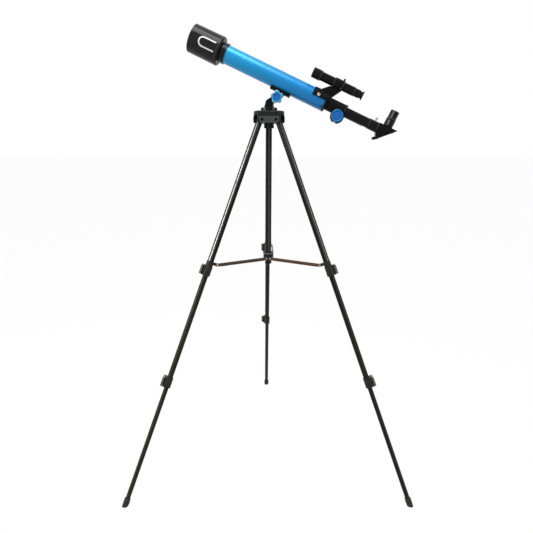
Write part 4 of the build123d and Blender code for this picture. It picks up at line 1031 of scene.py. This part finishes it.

# %% [markdown]
# ## Rims with a painted highlight
# On a black telescope the rims are what the eye sees first, as they catch the light. Each rim of the
# hood, the finder, the focuser, the drawtube's collar, the diagonal's holder and the eyepiece gets a
# band a fraction of a millimetre proud, in a paler grey that is a painted highlight. The holder also has
# a gloss sleeve, in the eyepiece's own finish.

# %% Rim bands
hood_front = -293.5
hood_front_radius = 40.0
rims = {
    # body, height of the axis, and each rim's station and radius
    "finder_rim": (
        "optical_tube",
        finder_lift,
        ((64.0, 14.3), (87.6, 14.3), (130.6, 14.6), (157.0, 15.8), (192.6, 12.4)),
    ),
    "focuser_rim": ("optical_tube", 0.0, ((131.6, 26.6), (192.2, 19.6))),
    "collar_rim": ("drawtube", 0.0, ((271.0, 14.8), (296.4, 14.8))),
    "hood_rim": ("optical_tube", 0.0, ((hood_front + 1.6, hood_front_radius), (hood_front + 86.0, 40.75))),
}
for rim_name, (body, lift, places) in rims.items():
    for index, (station, radius) in enumerate(places):
        centre = on_telescope(station, 0, lift)
        band(f"{rim_name}_{index}", body, painted_highlight_rim, centre, along, radius, 0.9, 0.25)
holder_radius = 13.5
eyepiece_radius = 12.7
upright_rims = (
    ("holder_rim", "star_diagonal", 36.5, holder_radius),
    ("shoulder_rim", "eyepiece", 38.8, eyepiece_radius),
    ("eye_rim", "eyepiece", 58.6, eyepiece_radius),
)
for rim_name, body, rise, radius in upright_rims:
    centre = on_telescope(eye_station, 0, rise)
    band(rim_name, body, painted_highlight_rim, centre, above, radius, 0.8, 0.25)
sleeve_height = 25.4
centre = on_telescope(eye_station, 0, sleeve_height)
band("holder_sleeve", "star_diagonal", eyepiece_black, centre, above, holder_radius, 10.4, 0.2)
print("rims", sum(len(places) for _, _, places in rims.values()) + len(upright_rims))

# %% [markdown]
# ## The white line on the hood
# The finger grip in the hood is outlined by a painted U that opens to the rear. It follows the hood's
# round side, so each point of the U is laid out flat, as a distance along the hood and an arc round it,
# and then wrapped on the hood's radius.

# %% Grip line
grip_front = hood_front + 33.0
grip_half = 11.0
grip_rear = grip_front + 47.0
hood_taper = 0.8 / 93.0


def on_hood(station, arc, lift):
    radius = hood_front_radius + hood_taper * (station - hood_front) + lift
    turn = arc / radius
    return on_telescope(station, -radius * math.cos(turn), radius * math.sin(turn))


def grip_path(straight=10, bend=24):
    """Flat points of the U with the direction that points out of it, from one open end to the other.

    Each straight side and the bend are divided into the given numbers of steps.
    """
    start = grip_front + grip_half
    length = grip_rear - start
    points = [(start + length * (1 - i / straight), grip_half, 0.0, 1.0) for i in range(straight)]
    for i in range(bend + 1):
        turn = math.pi / 2 + math.pi * i / bend
        out_station, out_arc = math.cos(turn), math.sin(turn)
        points.append((start + grip_half * out_station, grip_half * out_arc, out_station, out_arc))
    points += [(start + length * i / straight, -grip_half, 0.0, -1.0) for i in range(1, straight + 1)]
    return points


def grip_line(width, rise):
    """The painted line, set in a little from the U and sunk a little into the hood."""
    inset, sunk = 0.3, 0.5
    section = ((-inset, -sunk), (-inset, rise), (width, rise), (width, -sunk))
    rows = []
    for station, arc, out_station, out_arc in grip_path():
        row = []
        for offset, lift in section:
            row.append(on_hood(station + out_station * offset, arc + out_arc * offset, lift))
        rows.append(row)
    return skin("grip_line", rows, white_line, "optical_tube")


line = grip_line(width=3.5, rise=0.25)
print("grip line", len(line.data.polygons), "faces")

# %% [markdown]
# ## Floor
# One large plane of plain matt paint that bounces light back up. To the camera it is nearly clear, with a
# little of its shading left in, so that the soft shadow under the feet still shows. The white world
# shines through it, and so do the feet when the legs fold: the head stays where it is, and the upright
# legs reach about 90 mm below the floor.

# %% Floor
floor_corners = [(-40, -6, 0), (40, -6, 0), (40, 60, 0), (-40, 60, 0)]
floor_mesh = bpy.data.meshes.new("floor")
floor_mesh.from_pydata(floor_corners, [], [(0, 1, 2, 3)])
floor = bpy.data.objects.new("floor", floor_mesh)
scene.collection.objects.link(floor)
floor_paint = bpy.data.materials.new("pale floor")
floor_paint.use_nodes = True
paint = floor_paint.node_tree
matt = paint.nodes["Principled BSDF"]
matt.inputs["Base Color"].default_value = (0.45, 0.45, 0.45, 1)
matt.inputs["Roughness"].default_value = 0.9
clear_share = 0.95
seen = seen_directly(paint)
bright = tree_node(paint, "ShaderNodeBsdfDiffuse", sockets={"Color": (0.95, 0.95, 0.95, 1)})
glow = tree_node(paint, "ShaderNodeEmission", sockets={"Strength": 0.45})
lit = tree_node(paint, "ShaderNodeAddShader", sockets={0: bright.outputs[0], 1: glow.outputs[0]})
clear = tree_node(paint, "ShaderNodeBsdfTransparent")
share = tree_node(paint, "ShaderNodeMath", {"operation": "MULTIPLY"}, {0: seen, 1: clear_share})
blend = mixed(paint, share.outputs[0], mixed(paint, seen, matt, lit), clear)
paint.links.new(blend.outputs[0], paint.nodes["Material Output"].inputs["Surface"])
floor_mesh.materials.append(floor_paint)
print("floor laid")
